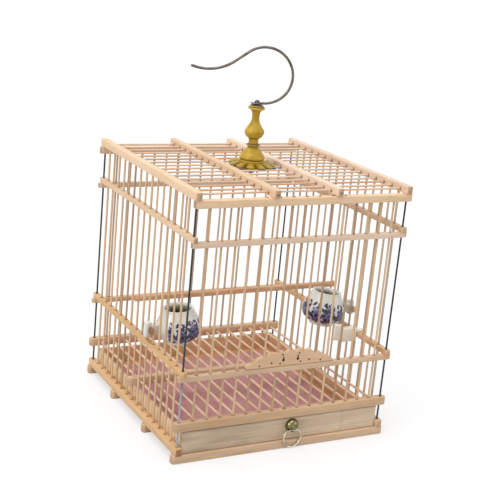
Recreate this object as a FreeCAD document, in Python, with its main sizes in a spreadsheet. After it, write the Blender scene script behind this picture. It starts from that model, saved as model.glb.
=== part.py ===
"""Square bamboo bird cage with a lift-up door, a pull-out drawer, two cups, a perch and a swivel hook.

Millimetres. +Z is up, +X is to the right and -Y is the front, where the door and the drawer are.
The origin is the centre of the underside of the base rails.
"""
import math
import os

import FreeCAD
import Part
import Sketcher
from FreeCAD import Placement, Rotation, Vector

SIZES = {
    # Plan: splints stand one pitch apart, and a corner wire closes each row
    "pitch": 15.0,
    "bays": 16,
    "overhang": 6.0,
    "end_radius": 2.2,
    # Splints and wires, and the gaps round them
    "splint_dia": 2.6,
    "wire_dia": 2.0,
    "glue_gap": 0.05,
    "slide_gap": 0.1,
    "seat_skin": 2.0,
    "end_gap": 0.3,
    # Base: four cross rails carry two side rails
    "cross_height": 9.0,
    "cross_width": 9.0,
    "cross_inner_bays": 3,
    "side_height": 8.0,
    "side_width": 8.0,
    # Floor grid above the drawer
    "floor_height": 9.4,
    "floor_depth": 8.0,
    # Two hoops of four strips each
    "hoop_height": 5.6,
    "hoop_depth": 6.0,
    "lower_hoop_z": 87.0,
    "upper_hoop_drop": 38.8,
    "strip_skin": 1.5,
    # Top frame
    "top_z": 262.4,
    "top_cross_height": 8.0,
    "top_cross_depth": 8.0,
    "top_rail_height": 8.5,
    "top_rail_width": 8.0,
    "top_inner_x": 36.0,
    "top_splint_rise": 3.6,
    # Drawer
    "drawer_height": 24.6,
    "drawer_gap": 0.3,
    "drawer_side_gap": 0.5,
    "drawer_proud": 2.0,
    "drawer_stop_gap": 0.5,
    "drawer_front_depth": 6.0,
    "drawer_wall": 4.0,
    "drawer_wall_height": 18.0,
    "drawer_floor": 3.0,
    "liner_thick": 0.8,
    "liner_gap": 0.5,
    # Ring pull
    "pull_x": 9.8,
    "pull_drop": 8.9,
    "pull_radius": 7.4,
    "pull_stud_dia": 3.0,
    "pull_stud_gap": 0.1,
    "pull_nut_flats": 5.5,
    "pull_nut_thick": 2.4,
    "pull_stud_proud": 1.0,
    "pivot_out": 4.0,
    "pivot_drop": 4.5,
    "ring_radius": 10.5,
    "ring_dia": 1.8,
    "ring_half_mouth": 6.2,
    "ring_pin_in": 2.5,
    "pivot_gap": 0.08,
    # Lift-up door
    "door_splints": 7,
    "door_end": 6.5,
    "door_tip": 1.0,
    "door_height": 17.0,
    "door_thick": 4.6,
    "door_seat": 3.0,
    "door_rest_gap": 0.1,
    "door_proud": 1.2,
    "door_eye_dia": 3.4,
    "door_dot_dia": 1.9,
    # Perch
    "perch_height": 5.2,
    "perch_depth": 6.4,
    "perch_z": 130.4,
    "perch_overhang": 5.0,
    "perch_slot_gap": 0.15,
    "perch_edge": 1.0,
    # Cups
    "cup_inset": 31.5,
    "cup_bays_forward": 2.5,
    "left_cup_z": 95.7,
    "right_cup_z": 101.0,
    "cup_lean_angle": 6.0,
    "cup_height": 38.0,
    "cup_belly_radius": 24.6,
    "cup_belly_z": 16.0,
    "cup_foot_radius": 13.5,
    "cup_foot_height": 2.0,
    "cup_fullness": 0.72,
    "cup_neck_radius": 15.8,
    "cup_lip_radius": 16.6,
    "cup_lip_height": 2.0,
    "cup_neck_z": 30.0,
    "cup_wall": 3.0,
    "cup_floor": 5.0,
    "lug_z": 16.8,
    "lug_width": 7.5,
    "lug_height": 9.8,
    "lug_root": 2.4,
    "lug_head_height": 17.0,
    "lug_head_length": 7.2,
    "lug_reach": 7.5,
    "peg_thick": 2.6,
    "peg_height": 7.0,
    "peg_length": 26.0,
    "peg_gap": 0.2,
    # Greens clip on the lower right strip
    "clip_bays_forward": 4.2,
    "clip_thick": 9.0,
    "clip_length": 21.3,
    "clip_height": 17.0,
    "clip_drop": 6.1,
    "clip_gap": 0.2,
    "clip_lip_width": 5.0,
    "clip_lip_thick": 2.6,
    "clip_hook_thick": 2.2,
    "clip_hook_low": 1.0,
    "clip_finger": 8.0,
    "clip_finger_thick": 4.5,
    "clip_finger_lift": 4.0,
    "clip_finger_height": 18.5,
    # Finial stack on the centre bolt
    "bolt_dia": 3.6,
    "bolt_gap": 0.08,
    "bolt_head_radius": 2.9,
    "bolt_head_height": 2.9,
    "bolt_proud": 1.6,
    "skirt_radius": 26.0,
    "skirt_edge": 1.4,
    "skirt_height": 3.8,
    "skirt_land": 14.0,
    "skirt_petals": 12,
    "petal_notch_radius": 3.0,
    "petal_notch_offset": 1.0,
    "finial_rim": 13.4,
    "finial_bell_foot": 11.6,
    "finial_bell": 13.6,
    "finial_shoulder": 9.4,
    "finial_cove": 7.0,
    "finial_ring": 7.5,
    "finial_waist": 5.6,
    "finial_bulb": 10.6,
    "finial_bulb_top": 8.5,
    "finial_taper": 5.6,
    "finial_neck": 4.1,
    "finial_flare": 5.7,
    "finial_flange": 9.2,
    "finial_cap": 8.0,
    # Heights of the stages of the post, from the rim upward
    "rim_height": 1.8,
    "bell_height": 10.3,
    "cove_height": 3.7,
    "ring_height": 1.6,
    "waist_height": 6.5,
    "bulb_height": 11.5,
    "taper_height": 7.6,
    "neck_height": 6.3,
    "flare_height": 5.7,
    "flange_height": 2.1,
    "cap_height": 3.3,
    "washer_radius": 5.0,
    "washer_thick": 0.8,
    "plate_length": 54.0,
    "plate_width": 16.0,
    "plate_thick": 2.5,
    "nut_flats": 7.0,
    "nut_thick": 3.0,
    # Hook: a bent wire with a flattened eye
    "hook_dia": 3.0,
    "hook_loop_radius": 29.3,
    "hook_loop_offset": 5.5,
    "hook_loop_angle": 218.0,
    "hook_straight": 18.0,
    "hook_tail_radius": 50.0,
    "hook_tail_angle": 54.6,
    "hook_eye_radius": 7.0,
    "hook_eye_width": 7.0,
    "hook_eye_corner": 3.1,
    "hook_eye_thick": 1.6,
    "hook_gap": 0.2,
    "hook_turn_angle": -29.0,
}

doc = FreeCAD.newDocument("BirdCage")
sheet = doc.addObject("Spreadsheet::Sheet", "Sizes")
for line, (alias, number) in enumerate(SIZES.items(), start=1):
    sheet.set(f"A{line}", alias)
    sheet.set(f"B{line}", str(number))
    sheet.setAlias(f"B{line}", alias)
doc.recompute()

HALF = "Sizes.pitch * Sizes.bays / 2"
BAR_LENGTH = "(Sizes.pitch * Sizes.bays + 2 * Sizes.overhang)"
SPLINT_HOLE = "(Sizes.splint_dia / 2 + Sizes.glue_gap)"
SLIDE_HOLE = "(Sizes.splint_dia / 2 + Sizes.slide_gap)"
WIRE_HOLE = "(Sizes.wire_dia / 2 + Sizes.glue_gap)"
FLOOR_Z = "(Sizes.cross_height + Sizes.drawer_height + 2 * Sizes.drawer_gap)"
TOP_RAIL_Z = "(Sizes.top_z + Sizes.top_cross_height)"
TOP_SPLINT_Z = f"({TOP_RAIL_Z} + Sizes.top_splint_rise)"
SPLINT_ROWS = "(Sizes.bays - 1)"
DOOR_FIRST = "((Sizes.door_splints - 1) / 2)"
OUTER_COUNT = "((Sizes.bays - 1 - Sizes.door_splints) / 2)"

parts = []


def size(alias):
    """One driving size, read from the sheet."""
    return float(sheet.get(alias))


def bind(obj, **formulas):
    """Tie properties to formulas; a double underscore stands for a dot."""
    for name, formula in formulas.items():
        obj.setExpression(name.replace("__", "."), formula)
    return obj


def place(obj, x="0", y="0", z="0", turn=0.0, axis=(0, 0, 1)):
    """Turn an object about an axis through its origin and move it to a bound place."""
    obj.Placement = Placement(Vector(), Rotation(Vector(*axis), turn))
    return bind(obj, Placement__Base__x=x, Placement__Base__y=y, Placement__Base__z=z)


def part(obj, label):
    """Name a finished sub-part."""
    obj.Label = label
    parts.append(obj)
    return obj


def plane(body, role):
    """One of a body's own origin planes."""
    return next(f for f in body.Origin.OriginFeatures if f.Role == role)


def new_sketch(body, role="XY_Plane", lift=None):
    """An empty sketch on an origin plane, lifted along the plane's normal."""
    sketch = body.newObject("Sketcher::SketchObject", "Sketch")
    sketch.AttachmentSupport = [(plane(body, role), "")]
    sketch.MapMode = "FlatFace"
    if lift:
        bind(sketch, AttachmentOffset__Base__z=lift)
    return sketch


def new_body(name):
    return doc.addObject("PartDesign::Body", name)


def constrain(sketch, kind, formula, *where):
    """A dimension constraint that follows a formula."""
    index = sketch.addConstraint(Sketcher.Constraint(kind, *where, 1.0))
    sketch.setExpression(f"Constraints[{index}]", formula)


def rectangle(sketch, length, width, left=None, bottom=None):
    """A rectangle from its left and bottom edges, or centred where they aren't given."""
    corners = [Vector(-1, -1, 0), Vector(1, -1, 0), Vector(1, 1, 0), Vector(-1, 1, 0)]
    for i in range(4):
        sketch.addGeometry(Part.LineSegment(corners[i], corners[(i + 1) % 4]))
    for i in range(4):
        sketch.addConstraint(Sketcher.Constraint("Coincident", i, 2, (i + 1) % 4, 1))
    for i, way in enumerate(("Horizontal", "Vertical", "Horizontal", "Vertical")):
        sketch.addConstraint(Sketcher.Constraint(way, i))
    constrain(sketch, "DistanceX", length, 0, 1, 0, 2)
    constrain(sketch, "DistanceY", width, 1, 1, 1, 2)
    constrain(sketch, "DistanceX", left or f"-({length}) / 2", -1, 1, 0, 1)
    constrain(sketch, "DistanceY", bottom or f"-({width}) / 2", -1, 1, 0, 1)


def circle(sketch, radius, x, y):
    """A circle centred at a bound point."""
    index = sketch.addGeometry(Part.Circle(Vector(1, 1, 0), Vector(0, 0, 1), 1))
    constrain(sketch, "Radius", radius, index)
    constrain(sketch, "DistanceX", x, -1, 1, index, 3)
    constrain(sketch, "DistanceY", y, -1, 1, index, 3)


def outline(sketch, points):
    """A closed outline; a step given as (through, end) is reached by an arc."""
    joints = [Vector(*flat_end(step), 0) for step in points]
    count = len(points)
    for i, step in enumerate(points[1:] + points[:1]):
        here, there = joints[i], joints[(i + 1) % count]
        if isinstance(step[0], tuple):
            sketch.addGeometry(Part.Arc(here, Vector(*step[0], 0), there))
        else:
            sketch.addGeometry(Part.LineSegment(here, there))
    for i in range(count):
        following = (i + 1) % count
        joint = joints[following]
        ends = [1 if sketch.getPoint(edge, 1).isEqual(joint, 1e-6) else 2 for edge in (i, following)]
        sketch.addConstraint(Sketcher.Constraint("Coincident", i, ends[0], following, ends[1]))


def flat_end(step):
    """The end point of one step of an outline."""
    return step[1] if isinstance(step[0], tuple) else step


def pad(body, sketch, length, midplane=False):
    feature = body.newObject("PartDesign::Pad", "Pad")
    feature.Profile = sketch
    feature.Midplane = midplane
    return bind(feature, Length=length)


def pocket(body, sketch, depth=None, flip=False):
    """A cut against the sketch's normal, or along it where flipped; no depth goes right through."""
    feature = body.newObject("PartDesign::Pocket", "Pocket")
    feature.Profile = sketch
    feature.Reversed = flip
    if depth:
        bind(feature, Length=depth)
    else:
        feature.Type = "ThroughAll"
    return feature


def revolve(body, sketch):
    """A full turn about the upright axis of the sketch."""
    feature = body.newObject("PartDesign::Revolution", "Revolution")
    feature.Profile = sketch
    feature.ReferenceAxis = (sketch, ["V_Axis"])
    feature.Angle = 360
    return feature


def row(body, feature, sketch, step, count):
    """Repeat a cut along the bar."""
    pattern = body.newObject("PartDesign::LinearPattern", "Row")
    pattern.Originals = [feature]
    pattern.Direction = (sketch, ["H_Axis"])
    bind(pattern, Length=f"({step}) * (({count}) - 1)", Occurrences=count)
    body.Tip = pattern
    return pattern


def end_edges(feature, along):
    """Names of the edges of a padded bar that run along a direction."""
    found = []
    for number, edge in enumerate(feature.Shape.Edges, start=1):
        if edge.Curve.TypeId == "Part::GeomLine" and abs(edge.Curve.Direction.dot(along)) > 0.99:
            found.append(f"Edge{number}")
    return found


def fillet(body, feature, along, radius):
    """Round the edges of a pad that run along a direction."""
    doc.recompute()
    rounding = body.newObject("PartDesign::Fillet", "Fillet")
    rounding.Base = (feature, end_edges(feature, along))
    return bind(rounding, Radius=radius)


def bar(label, length, width, height, rows, x="0", y="0", z="0", turn=0.0):
    """A rail or strip along its own X, with rounded ends and rows of drilled holes.

    Each row is (face, first, step, count, radius, depth, rise): the face that it is drilled from,
    where along the bar it starts, and how far up a side face it lies.
    """
    body = new_body(label)
    sketch = new_sketch(body)
    rectangle(sketch, length, width)
    blank = pad(body, sketch, height)
    fillet(body, blank, Vector(0, 0, 1), "Sizes.end_radius")
    for face, first, step, count, radius, depth, rise in rows:
        if face == "side":
            holes = new_sketch(body, "XZ_Plane", f"-({width}) / 2")
            circle(holes, radius, first, rise)
        else:
            holes = new_sketch(body, "XY_Plane", height if face == "top" else None)
            circle(holes, radius, first, "0")
        drilled = pocket(body, holes, depth, flip=face != "top")
        row(body, drilled, holes, step, count)
    return part(place(body, x, y, z, turn), label)


def corner_holes(face="top", depth=None):
    """The pair of holes for the corner wires."""
    return (face, f"-{HALF}", f"2 * {HALF}", "2", WIRE_HOLE, depth, None)


def splint_holes(face="top", depth=None, radius=SPLINT_HOLE):
    """A full row of upright splint holes."""
    first = "-Sizes.pitch * (Sizes.bays / 2 - 1)"
    return (face, first, "Sizes.pitch", SPLINT_ROWS, radius, depth, None)


def outer_holes(face="top", depth=None):
    """The two rows of splint holes on either side of the door."""
    left = "-Sizes.pitch * (Sizes.bays / 2 - 1)"
    right = f"Sizes.pitch * ({DOOR_FIRST} + 1)"
    return [(face, start, "Sizes.pitch", OUTER_COUNT, SPLINT_HOLE, depth, None) for start in (left, right)]


def door_holes(face="top", depth=None, radius=SLIDE_HOLE):
    """The row of holes over or under the door."""
    return (face, f"-Sizes.pitch * {DOOR_FIRST}", "Sizes.pitch", "Sizes.door_splints", radius, depth, None)


def flat_holes(rise, depth=None):
    """A full row of level splint holes, half a pitch off the upright ones."""
    first = "-Sizes.pitch * (Sizes.bays - 1) / 2"
    return ("side", first, "Sizes.pitch", "Sizes.bays", SPLINT_HOLE, depth, rise)


def rods(label, radius, length, places, axis=None):
    """A group of straight rods, each from a bound place; axis turns them from upright."""
    group = doc.addObject("Part::Compound", label)
    made = []
    for x, y, z in places:
        rod = doc.addObject("Part::Cylinder", "Rod")
        bind(rod, Radius=radius, Height=length)
        place(rod, x, y, z, 90.0 if axis else 0.0, axis or (0, 0, 1))
        made.append(rod)
    group.Links = made
    return part(group, label)


def fuse(*shapes):
    joined = doc.addObject("Part::MultiFuse", "Fuse")
    joined.Shapes = list(shapes)
    return joined


def cut(base, tool):
    result = doc.addObject("Part::Cut", "Cut")
    result.Base = base
    result.Tool = tool
    return result


def cylinder(radius, height, x="0", y="0", z="0", turn=0.0, axis=(0, 0, 1)):
    made = doc.addObject("Part::Cylinder", "Cylinder")
    bind(made, Radius=radius, Height=height)
    return place(made, x, y, z, turn, axis)


def box(length, width, height, x="0", y="0", z="0"):
    made = doc.addObject("Part::Box", "Box")
    bind(made, Length=length, Width=width, Height=height)
    return place(made, x, y, z)


def nut(label, flats, thick, hole, x, y, z, turn=0.0, axis=(0, 0, 1)):
    """A six-sided nut that grows along its axis from its place."""
    prism = doc.addObject("Part::Prism", "Prism")
    prism.Polygon = 6
    bind(prism, Circumradius=f"({flats}) / sqrt(3)", Height=thick)
    place(prism, x, y, z, turn, axis)
    return part(cut(prism, cylinder(hole, thick, x, y, z, turn, axis)), label)


def splint_places(axis, across, z, first=None, count=None):
    """Places of upright splints along X or Y, counted from the middle of the side."""
    count = count if count is not None else int(size("bays")) - 1
    first = first if first is not None else -(count - 1) / 2
    spots = []
    for i in range(count):
        along = f"Sizes.pitch * {first + i}"
        spots.append((along, across, z) if axis == "x" else (across, along, z))
    return spots


def build_base():
    inner = "Sizes.pitch * Sizes.cross_inner_bays"
    cross_y = [f"-{HALF}", f"-{inner}", inner, HALF]
    names = ["base_front_rail", "base_mid_front_rail", "base_mid_back_rail", "base_back_rail"]
    seat = "(Sizes.cross_height - Sizes.seat_skin + Sizes.end_gap)"
    rows = {"base_front_rail": [corner_holes(depth=seat)]}
    rows["base_back_rail"] = [corner_holes(depth=seat), splint_holes(depth=seat)]
    for name, y in zip(names, cross_y):
        bar(name, BAR_LENGTH, "Sizes.cross_width", "Sizes.cross_height", rows.get(name, []), y=y)
    seat = "(Sizes.side_height - Sizes.seat_skin + Sizes.end_gap)"
    for name, x, turn in (("base_left_rail", f"-{HALF}", -90), ("base_right_rail", HALF, 90)):
        rows = [corner_holes(), splint_holes(depth=seat)]
        bar(name, BAR_LENGTH, "Sizes.side_width", "Sizes.side_height", rows, x,
            z="Sizes.cross_height", turn=turn)


def build_floor():
    seat = "(Sizes.floor_height - Sizes.seat_skin + Sizes.end_gap)"
    side_seat = "(Sizes.floor_depth - Sizes.seat_skin + Sizes.end_gap)"
    middle = "Sizes.floor_height / 2"
    level = flat_holes(middle, side_seat)
    front = [corner_holes(), splint_holes(depth=seat), level]
    back = [corner_holes(), splint_holes(), level]
    ends = ("top", f"-{HALF}", f"2 * {HALF}", "2", SPLINT_HOLE, None, None)
    rails = [
        ("floor_front_rail", front, f"-{HALF}", 0),
        ("floor_middle_rail", [ends, flat_holes(middle)], "0", 0),
        ("floor_back_rail", back, HALF, 180),
    ]
    for name, rows, y, turn in rails:
        bar(name, BAR_LENGTH, "Sizes.floor_depth", "Sizes.floor_height", rows, y=y, z=FLOOR_Z, turn=turn)
    bays = int(size("bays"))
    reach = f"({HALF} + Sizes.floor_depth / 2 - Sizes.seat_skin)"
    spots = [(f"Sizes.pitch * {i - (bays - 1) / 2}", reach, f"{FLOOR_Z} + {middle}") for i in range(bays)]
    rods("floor_splints", "Sizes.splint_dia / 2", f"2 * {reach}", spots, axis=(1, 0, 0))


def build_hoops():
    blind = "(Sizes.hoop_height - Sizes.strip_skin + Sizes.end_gap)"
    levels = {"lower": "Sizes.lower_hoop_z", "upper": "(Sizes.top_z - Sizes.upper_hoop_drop)"}
    for level, low in levels.items():
        high = f"({low} + Sizes.hoop_height)"
        middle = door_holes("bottom", blind, SPLINT_HOLE) if level == "lower" else door_holes()
        front = [corner_holes(), *outer_holes(), middle]
        plain = [corner_holes(), splint_holes()]
        sides = [
            ("front", front, "0", f"-{HALF}", low, 0),
            ("back", plain, "0", HALF, low, 180),
            ("left", plain, f"-{HALF}", "0", high, -90),
            ("right", plain, HALF, "0", high, 90),
        ]
        for side, rows, x, y, z, turn in sides:
            bar(f"{level}_hoop_{side}", BAR_LENGTH, "Sizes.hoop_depth", "Sizes.hoop_height", rows,
                x, y, z, turn)


def build_top():
    seat = "(Sizes.top_cross_height - Sizes.seat_skin + Sizes.end_gap)"
    front = [corner_holes(), *outer_holes("bottom", seat), door_holes()]
    back = [corner_holes(), splint_holes("bottom", seat)]
    for side, rows, y, turn in (("front", front, f"-{HALF}", 0), ("back", back, HALF, 180)):
        bar(f"top_{side}_rail", BAR_LENGTH, "Sizes.top_cross_depth", "Sizes.top_cross_height", rows,
            y=y, z="Sizes.top_z", turn=turn)
    seat = "(Sizes.top_rail_height - Sizes.seat_skin + Sizes.end_gap)"
    side_seat = "(Sizes.top_rail_width - Sizes.seat_skin + Sizes.end_gap)"
    rise = "Sizes.top_splint_rise"
    edge = [corner_holes("bottom", seat), splint_holes("bottom", seat), flat_holes(rise, side_seat)]
    inner = [flat_holes(rise)]
    rails = [
        ("top_left_rail", edge, f"-{HALF}", -90),
        ("top_right_rail", edge, HALF, 90),
        ("top_inner_left_rail", inner, "-Sizes.top_inner_x", -90),
        ("top_inner_right_rail", inner, "Sizes.top_inner_x", 90),
    ]
    for name, rows, x, turn in rails:
        bar(name, BAR_LENGTH, "Sizes.top_rail_width", "Sizes.top_rail_height", rows, x,
            z=TOP_RAIL_Z, turn=turn)
    bays = int(size("bays"))
    reach = f"({HALF} + Sizes.top_rail_width / 2 - Sizes.seat_skin)"
    spots = [(f"-{reach}", f"Sizes.pitch * {i - (bays - 1) / 2}", TOP_SPLINT_Z) for i in range(bays)]
    rods("top_splints", "Sizes.splint_dia / 2", f"2 * {reach}", spots, axis=(0, 1, 0))


def build_splints():
    radius = "Sizes.splint_dia / 2"
    side_low = "(Sizes.cross_height + Sizes.seat_skin)"
    side_high = f"({TOP_RAIL_Z} + Sizes.top_rail_height - Sizes.seat_skin)"
    for side, x in (("left", f"-{HALF}"), ("right", HALF)):
        rods(f"{side}_splints", radius, f"{side_high} - {side_low}", splint_places("y", x, side_low))
    cross_high = "(Sizes.top_z + Sizes.top_cross_height - Sizes.seat_skin)"
    spots = splint_places("x", HALF, "Sizes.seat_skin")
    rods("back_splints", radius, f"{cross_high} - Sizes.seat_skin", spots)
    outer = int((size("bays") - 1 - size("door_splints")) / 2)
    first = size("bays") / 2 - 1
    low = f"({FLOOR_Z} + Sizes.seat_skin)"
    spots = splint_places("x", f"-{HALF}", low, -first, outer)
    spots += splint_places("x", f"-{HALF}", low, first - outer + 1, outer)
    rods("front_splints", radius, f"{cross_high} - {low}", spots)
    high = "(Sizes.lower_hoop_z + Sizes.hoop_height - Sizes.strip_skin)"
    spots = splint_places("x", f"-{HALF}", low, count=int(size("door_splints")))
    rods("front_short_splints", radius, f"{high} - {low}", spots)
    spots = [(x, y, "Sizes.seat_skin") for x in (f"-{HALF}", HALF) for y in (f"-{HALF}", HALF)]
    rods("corner_wires", "Sizes.wire_dia / 2", f"{side_high} - Sizes.seat_skin", spots)


def build_door():
    """A carved board that rests on the lower front strip, and the splints that it lifts."""
    rest = "(Sizes.lower_hoop_z + Sizes.hoop_height + Sizes.door_rest_gap)"
    half = size("pitch") * (size("door_splints") - 1) / 2 + size("door_end")
    high = size("door_height")
    right = [
        (half, 0.0),
        (half - size("door_tip"), 0.17 * high),
        ((0.90 * half, 0.36 * high), (0.80 * half, 0.42 * high)),
        ((0.70 * half, 0.66 * high), (0.56 * half, 0.64 * high)),
        ((0.46 * half, 0.90 * high), (0.32 * half, 0.82 * high)),
        ((0.22 * half, 0.98 * high), (0.11 * half, 0.86 * high)),
    ]
    left = []
    ends = [flat_end(step) for step in right]
    for i in range(len(right) - 1, 0, -1):
        through = right[i][0] if isinstance(right[i][0], tuple) else None
        x, z = ends[i - 1]
        left.append(((-through[0], through[1]), (-x, z)) if through else (-x, z))
    crown = ((0.0, high), (-ends[-1][0], ends[-1][1]))
    body = new_body("door_board")
    sketch = new_sketch(body, "XZ_Plane")
    outline(sketch, right + [crown] + left)
    pad(body, sketch, "Sizes.door_thick", midplane=True)
    eyes = [(0.165, 0.40, "door_eye_dia"), (0.19, 0.76, "door_dot_dia"), (0.235, 0.20, "door_dot_dia")]
    eyes += [(0.43, 0.28, "door_dot_dia"), (0.70, 0.17, "door_dot_dia")]
    holes = new_sketch(body, "XZ_Plane", "-Sizes.door_thick / 2")
    half_length = f"(Sizes.pitch * {DOOR_FIRST} + Sizes.door_end)"
    for along, rise, bore in eyes:
        for side in (-1, 1):
            across = f"{half_length} * {side * along}"
            circle(holes, f"Sizes.{bore} / 2", across, f"Sizes.door_height * {rise}")
    pocket(body, holes, flip=True)
    seats = new_sketch(body, "XY_Plane", "Sizes.door_seat - Sizes.end_gap")
    circle(seats, SPLINT_HOLE, f"-Sizes.pitch * {DOOR_FIRST}", "0")
    drilled = pocket(body, seats, flip=True)
    row(body, drilled, seats, "Sizes.pitch", "Sizes.door_splints")
    part(place(body, y=f"-{HALF}", z=rest), "door_board")
    top = "(Sizes.top_z + Sizes.top_cross_height + Sizes.door_proud)"
    low = f"({rest} + Sizes.door_seat)"
    spots = splint_places("x", f"-{HALF}", low, count=int(size("door_splints")))
    rods("door_splints", "Sizes.splint_dia / 2", f"{top} - {low}", spots)


def build_perch():
    """A square bar with a slot at each end that grips the middle splint of either side."""
    length = f"({HALF} + Sizes.perch_overhang)"
    body = new_body("perch")
    sketch = new_sketch(body)
    rectangle(sketch, f"2 * {length}", "Sizes.perch_depth")
    blank = pad(body, sketch, "Sizes.perch_height")
    fillet(body, blank, Vector(1, 0, 0), "Sizes.perch_edge")
    grip = "(Sizes.splint_dia / 2 + Sizes.perch_slot_gap)"
    for side in (-1, 1):
        slot = new_sketch(body, "XY_Plane", "Sizes.perch_height")
        depth = f"(Sizes.perch_overhang + {grip})"
        left = f"-{length}" if side < 0 else f"{length} - {depth}"
        rectangle(slot, depth, f"2 * {grip}", left=left)
        pocket(body, slot)
    part(place(body, z="Sizes.perch_z"), "perch")


DRAWER_Z = "(Sizes.cross_height + Sizes.drawer_gap)"
DRAWER_WIDTH = f"(2 * {HALF} - Sizes.side_width - 2 * Sizes.drawer_side_gap)"
DRAWER_BACK = f"({HALF} - Sizes.splint_dia / 2 - Sizes.drawer_stop_gap)"
DRAWER_FACE = f"(-{HALF} - Sizes.drawer_proud)"
TRAY_Y = f"({DRAWER_FACE} + Sizes.drawer_front_depth)"
TRAY_LENGTH = f"({DRAWER_BACK} - {TRAY_Y})"


def board(label, length, width, height, x, y, z):
    """A plain board from its lowest corner."""
    return part(box(length, width, height, x, y, z), label)


def build_drawer():
    """A tray of thin boards behind a front panel."""
    left = f"-{DRAWER_WIDTH} / 2"
    panel = box(DRAWER_WIDTH, "Sizes.drawer_front_depth", "Sizes.drawer_height", left, DRAWER_FACE, DRAWER_Z)
    stud_hole = "(Sizes.pull_stud_dia / 2 + Sizes.pull_stud_gap)"
    pull_z = f"({DRAWER_Z} + Sizes.drawer_height - Sizes.pull_drop)"
    bore = cylinder(stud_hole, "Sizes.drawer_front_depth", "Sizes.pull_x", TRAY_Y, pull_z, 90, (1, 0, 0))
    part(cut(panel, bore), "drawer_front")
    board("drawer_bottom", DRAWER_WIDTH, TRAY_LENGTH, "Sizes.drawer_floor", left, TRAY_Y, DRAWER_Z)
    wall_z = f"({DRAWER_Z} + Sizes.drawer_floor)"
    wall = "Sizes.drawer_wall"
    wall_high = "Sizes.drawer_wall_height"
    board("drawer_left_side", wall, TRAY_LENGTH, wall_high, left, TRAY_Y, wall_z)
    right = f"{DRAWER_WIDTH} / 2 - {wall}"
    board("drawer_right_side", wall, TRAY_LENGTH, wall_high, right, TRAY_Y, wall_z)
    inside = f"({DRAWER_WIDTH} - 2 * {wall})"
    board("drawer_back", inside, wall, wall_high, f"-{inside} / 2", f"{DRAWER_BACK} - {wall}", wall_z)
    liner_x = f"({inside} - 2 * Sizes.liner_gap)"
    liner_y = f"({TRAY_LENGTH} - {wall} - 2 * Sizes.liner_gap)"
    liner_low = f"{TRAY_Y} + Sizes.liner_gap"
    board("drawer_liner", liner_x, liner_y, "Sizes.liner_thick", f"-{liner_x} / 2", liner_low, wall_z)
    build_pull(pull_z)


def build_pull(pull_z):
    """A half-ball knob on a stud, its nut inside the drawer, and a ring hung on two bent-in ends."""
    ball = doc.addObject("Part::Sphere", "Ball")
    ball.Angle1 = 0
    bind(ball, Radius="Sizes.pull_radius")
    place(ball, "Sizes.pull_x", DRAWER_FACE, pull_z, 90, (1, 0, 0))
    stud_length = "Sizes.drawer_front_depth + Sizes.pull_nut_thick + Sizes.pull_stud_proud"
    stud_radius = "Sizes.pull_stud_dia / 2"
    stud = cylinder(stud_radius, stud_length, "Sizes.pull_x", DRAWER_FACE, pull_z, -90, (1, 0, 0))
    pivot_y = f"({DRAWER_FACE} - Sizes.pivot_out)"
    pivot_z = f"({pull_z} - Sizes.pivot_drop)"
    bore_length = "2 * Sizes.pull_radius"
    bore_x = "Sizes.pull_x - Sizes.pull_radius"
    wire = "Sizes.ring_dia / 2"
    bore = cylinder(f"{wire} + Sizes.pivot_gap", bore_length, bore_x, pivot_y, pivot_z, 90, (0, 1, 0))
    part(cut(fuse(ball, stud), bore), "pull_knob")
    nut("pull_nut", "Sizes.pull_nut_flats", "Sizes.pull_nut_thick", f"{stud_radius} + Sizes.glue_gap",
        "Sizes.pull_x", TRAY_Y, pull_z, -90, (1, 0, 0))
    mouth = math.degrees(math.asin(size("ring_half_mouth") / size("ring_radius")))
    drop = "sqrt(Sizes.ring_radius ^ 2 - Sizes.ring_half_mouth ^ 2)"
    hoop = doc.addObject("Part::Torus", "Hoop")
    bind(hoop, Radius1="Sizes.ring_radius", Radius2=wire)
    hoop.Angle3 = 360 - 2 * mouth
    upright = Rotation(Vector(1, 0, 0), 90).multiply(Rotation(Vector(0, 0, 1), 90 + mouth))
    place(hoop, "Sizes.pull_x", pivot_y, f"{pivot_z} - {drop}")
    hoop.Placement = Placement(hoop.Placement.Base, upright)
    pieces = [hoop]
    for side in (-1, 1):
        bend_x = f"Sizes.pull_x + {side} * Sizes.ring_half_mouth"
        bend = doc.addObject("Part::Sphere", "Bend")
        bind(bend, Radius=wire)
        pieces.append(place(bend, bend_x, pivot_y, pivot_z))
        pin_length = "(Sizes.ring_half_mouth - Sizes.ring_pin_in)"
        pieces.append(cylinder(wire, pin_length, bend_x, pivot_y, pivot_z, -90 * side, (0, 1, 0)))
    part(fuse(*pieces), "pull_ring")


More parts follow.
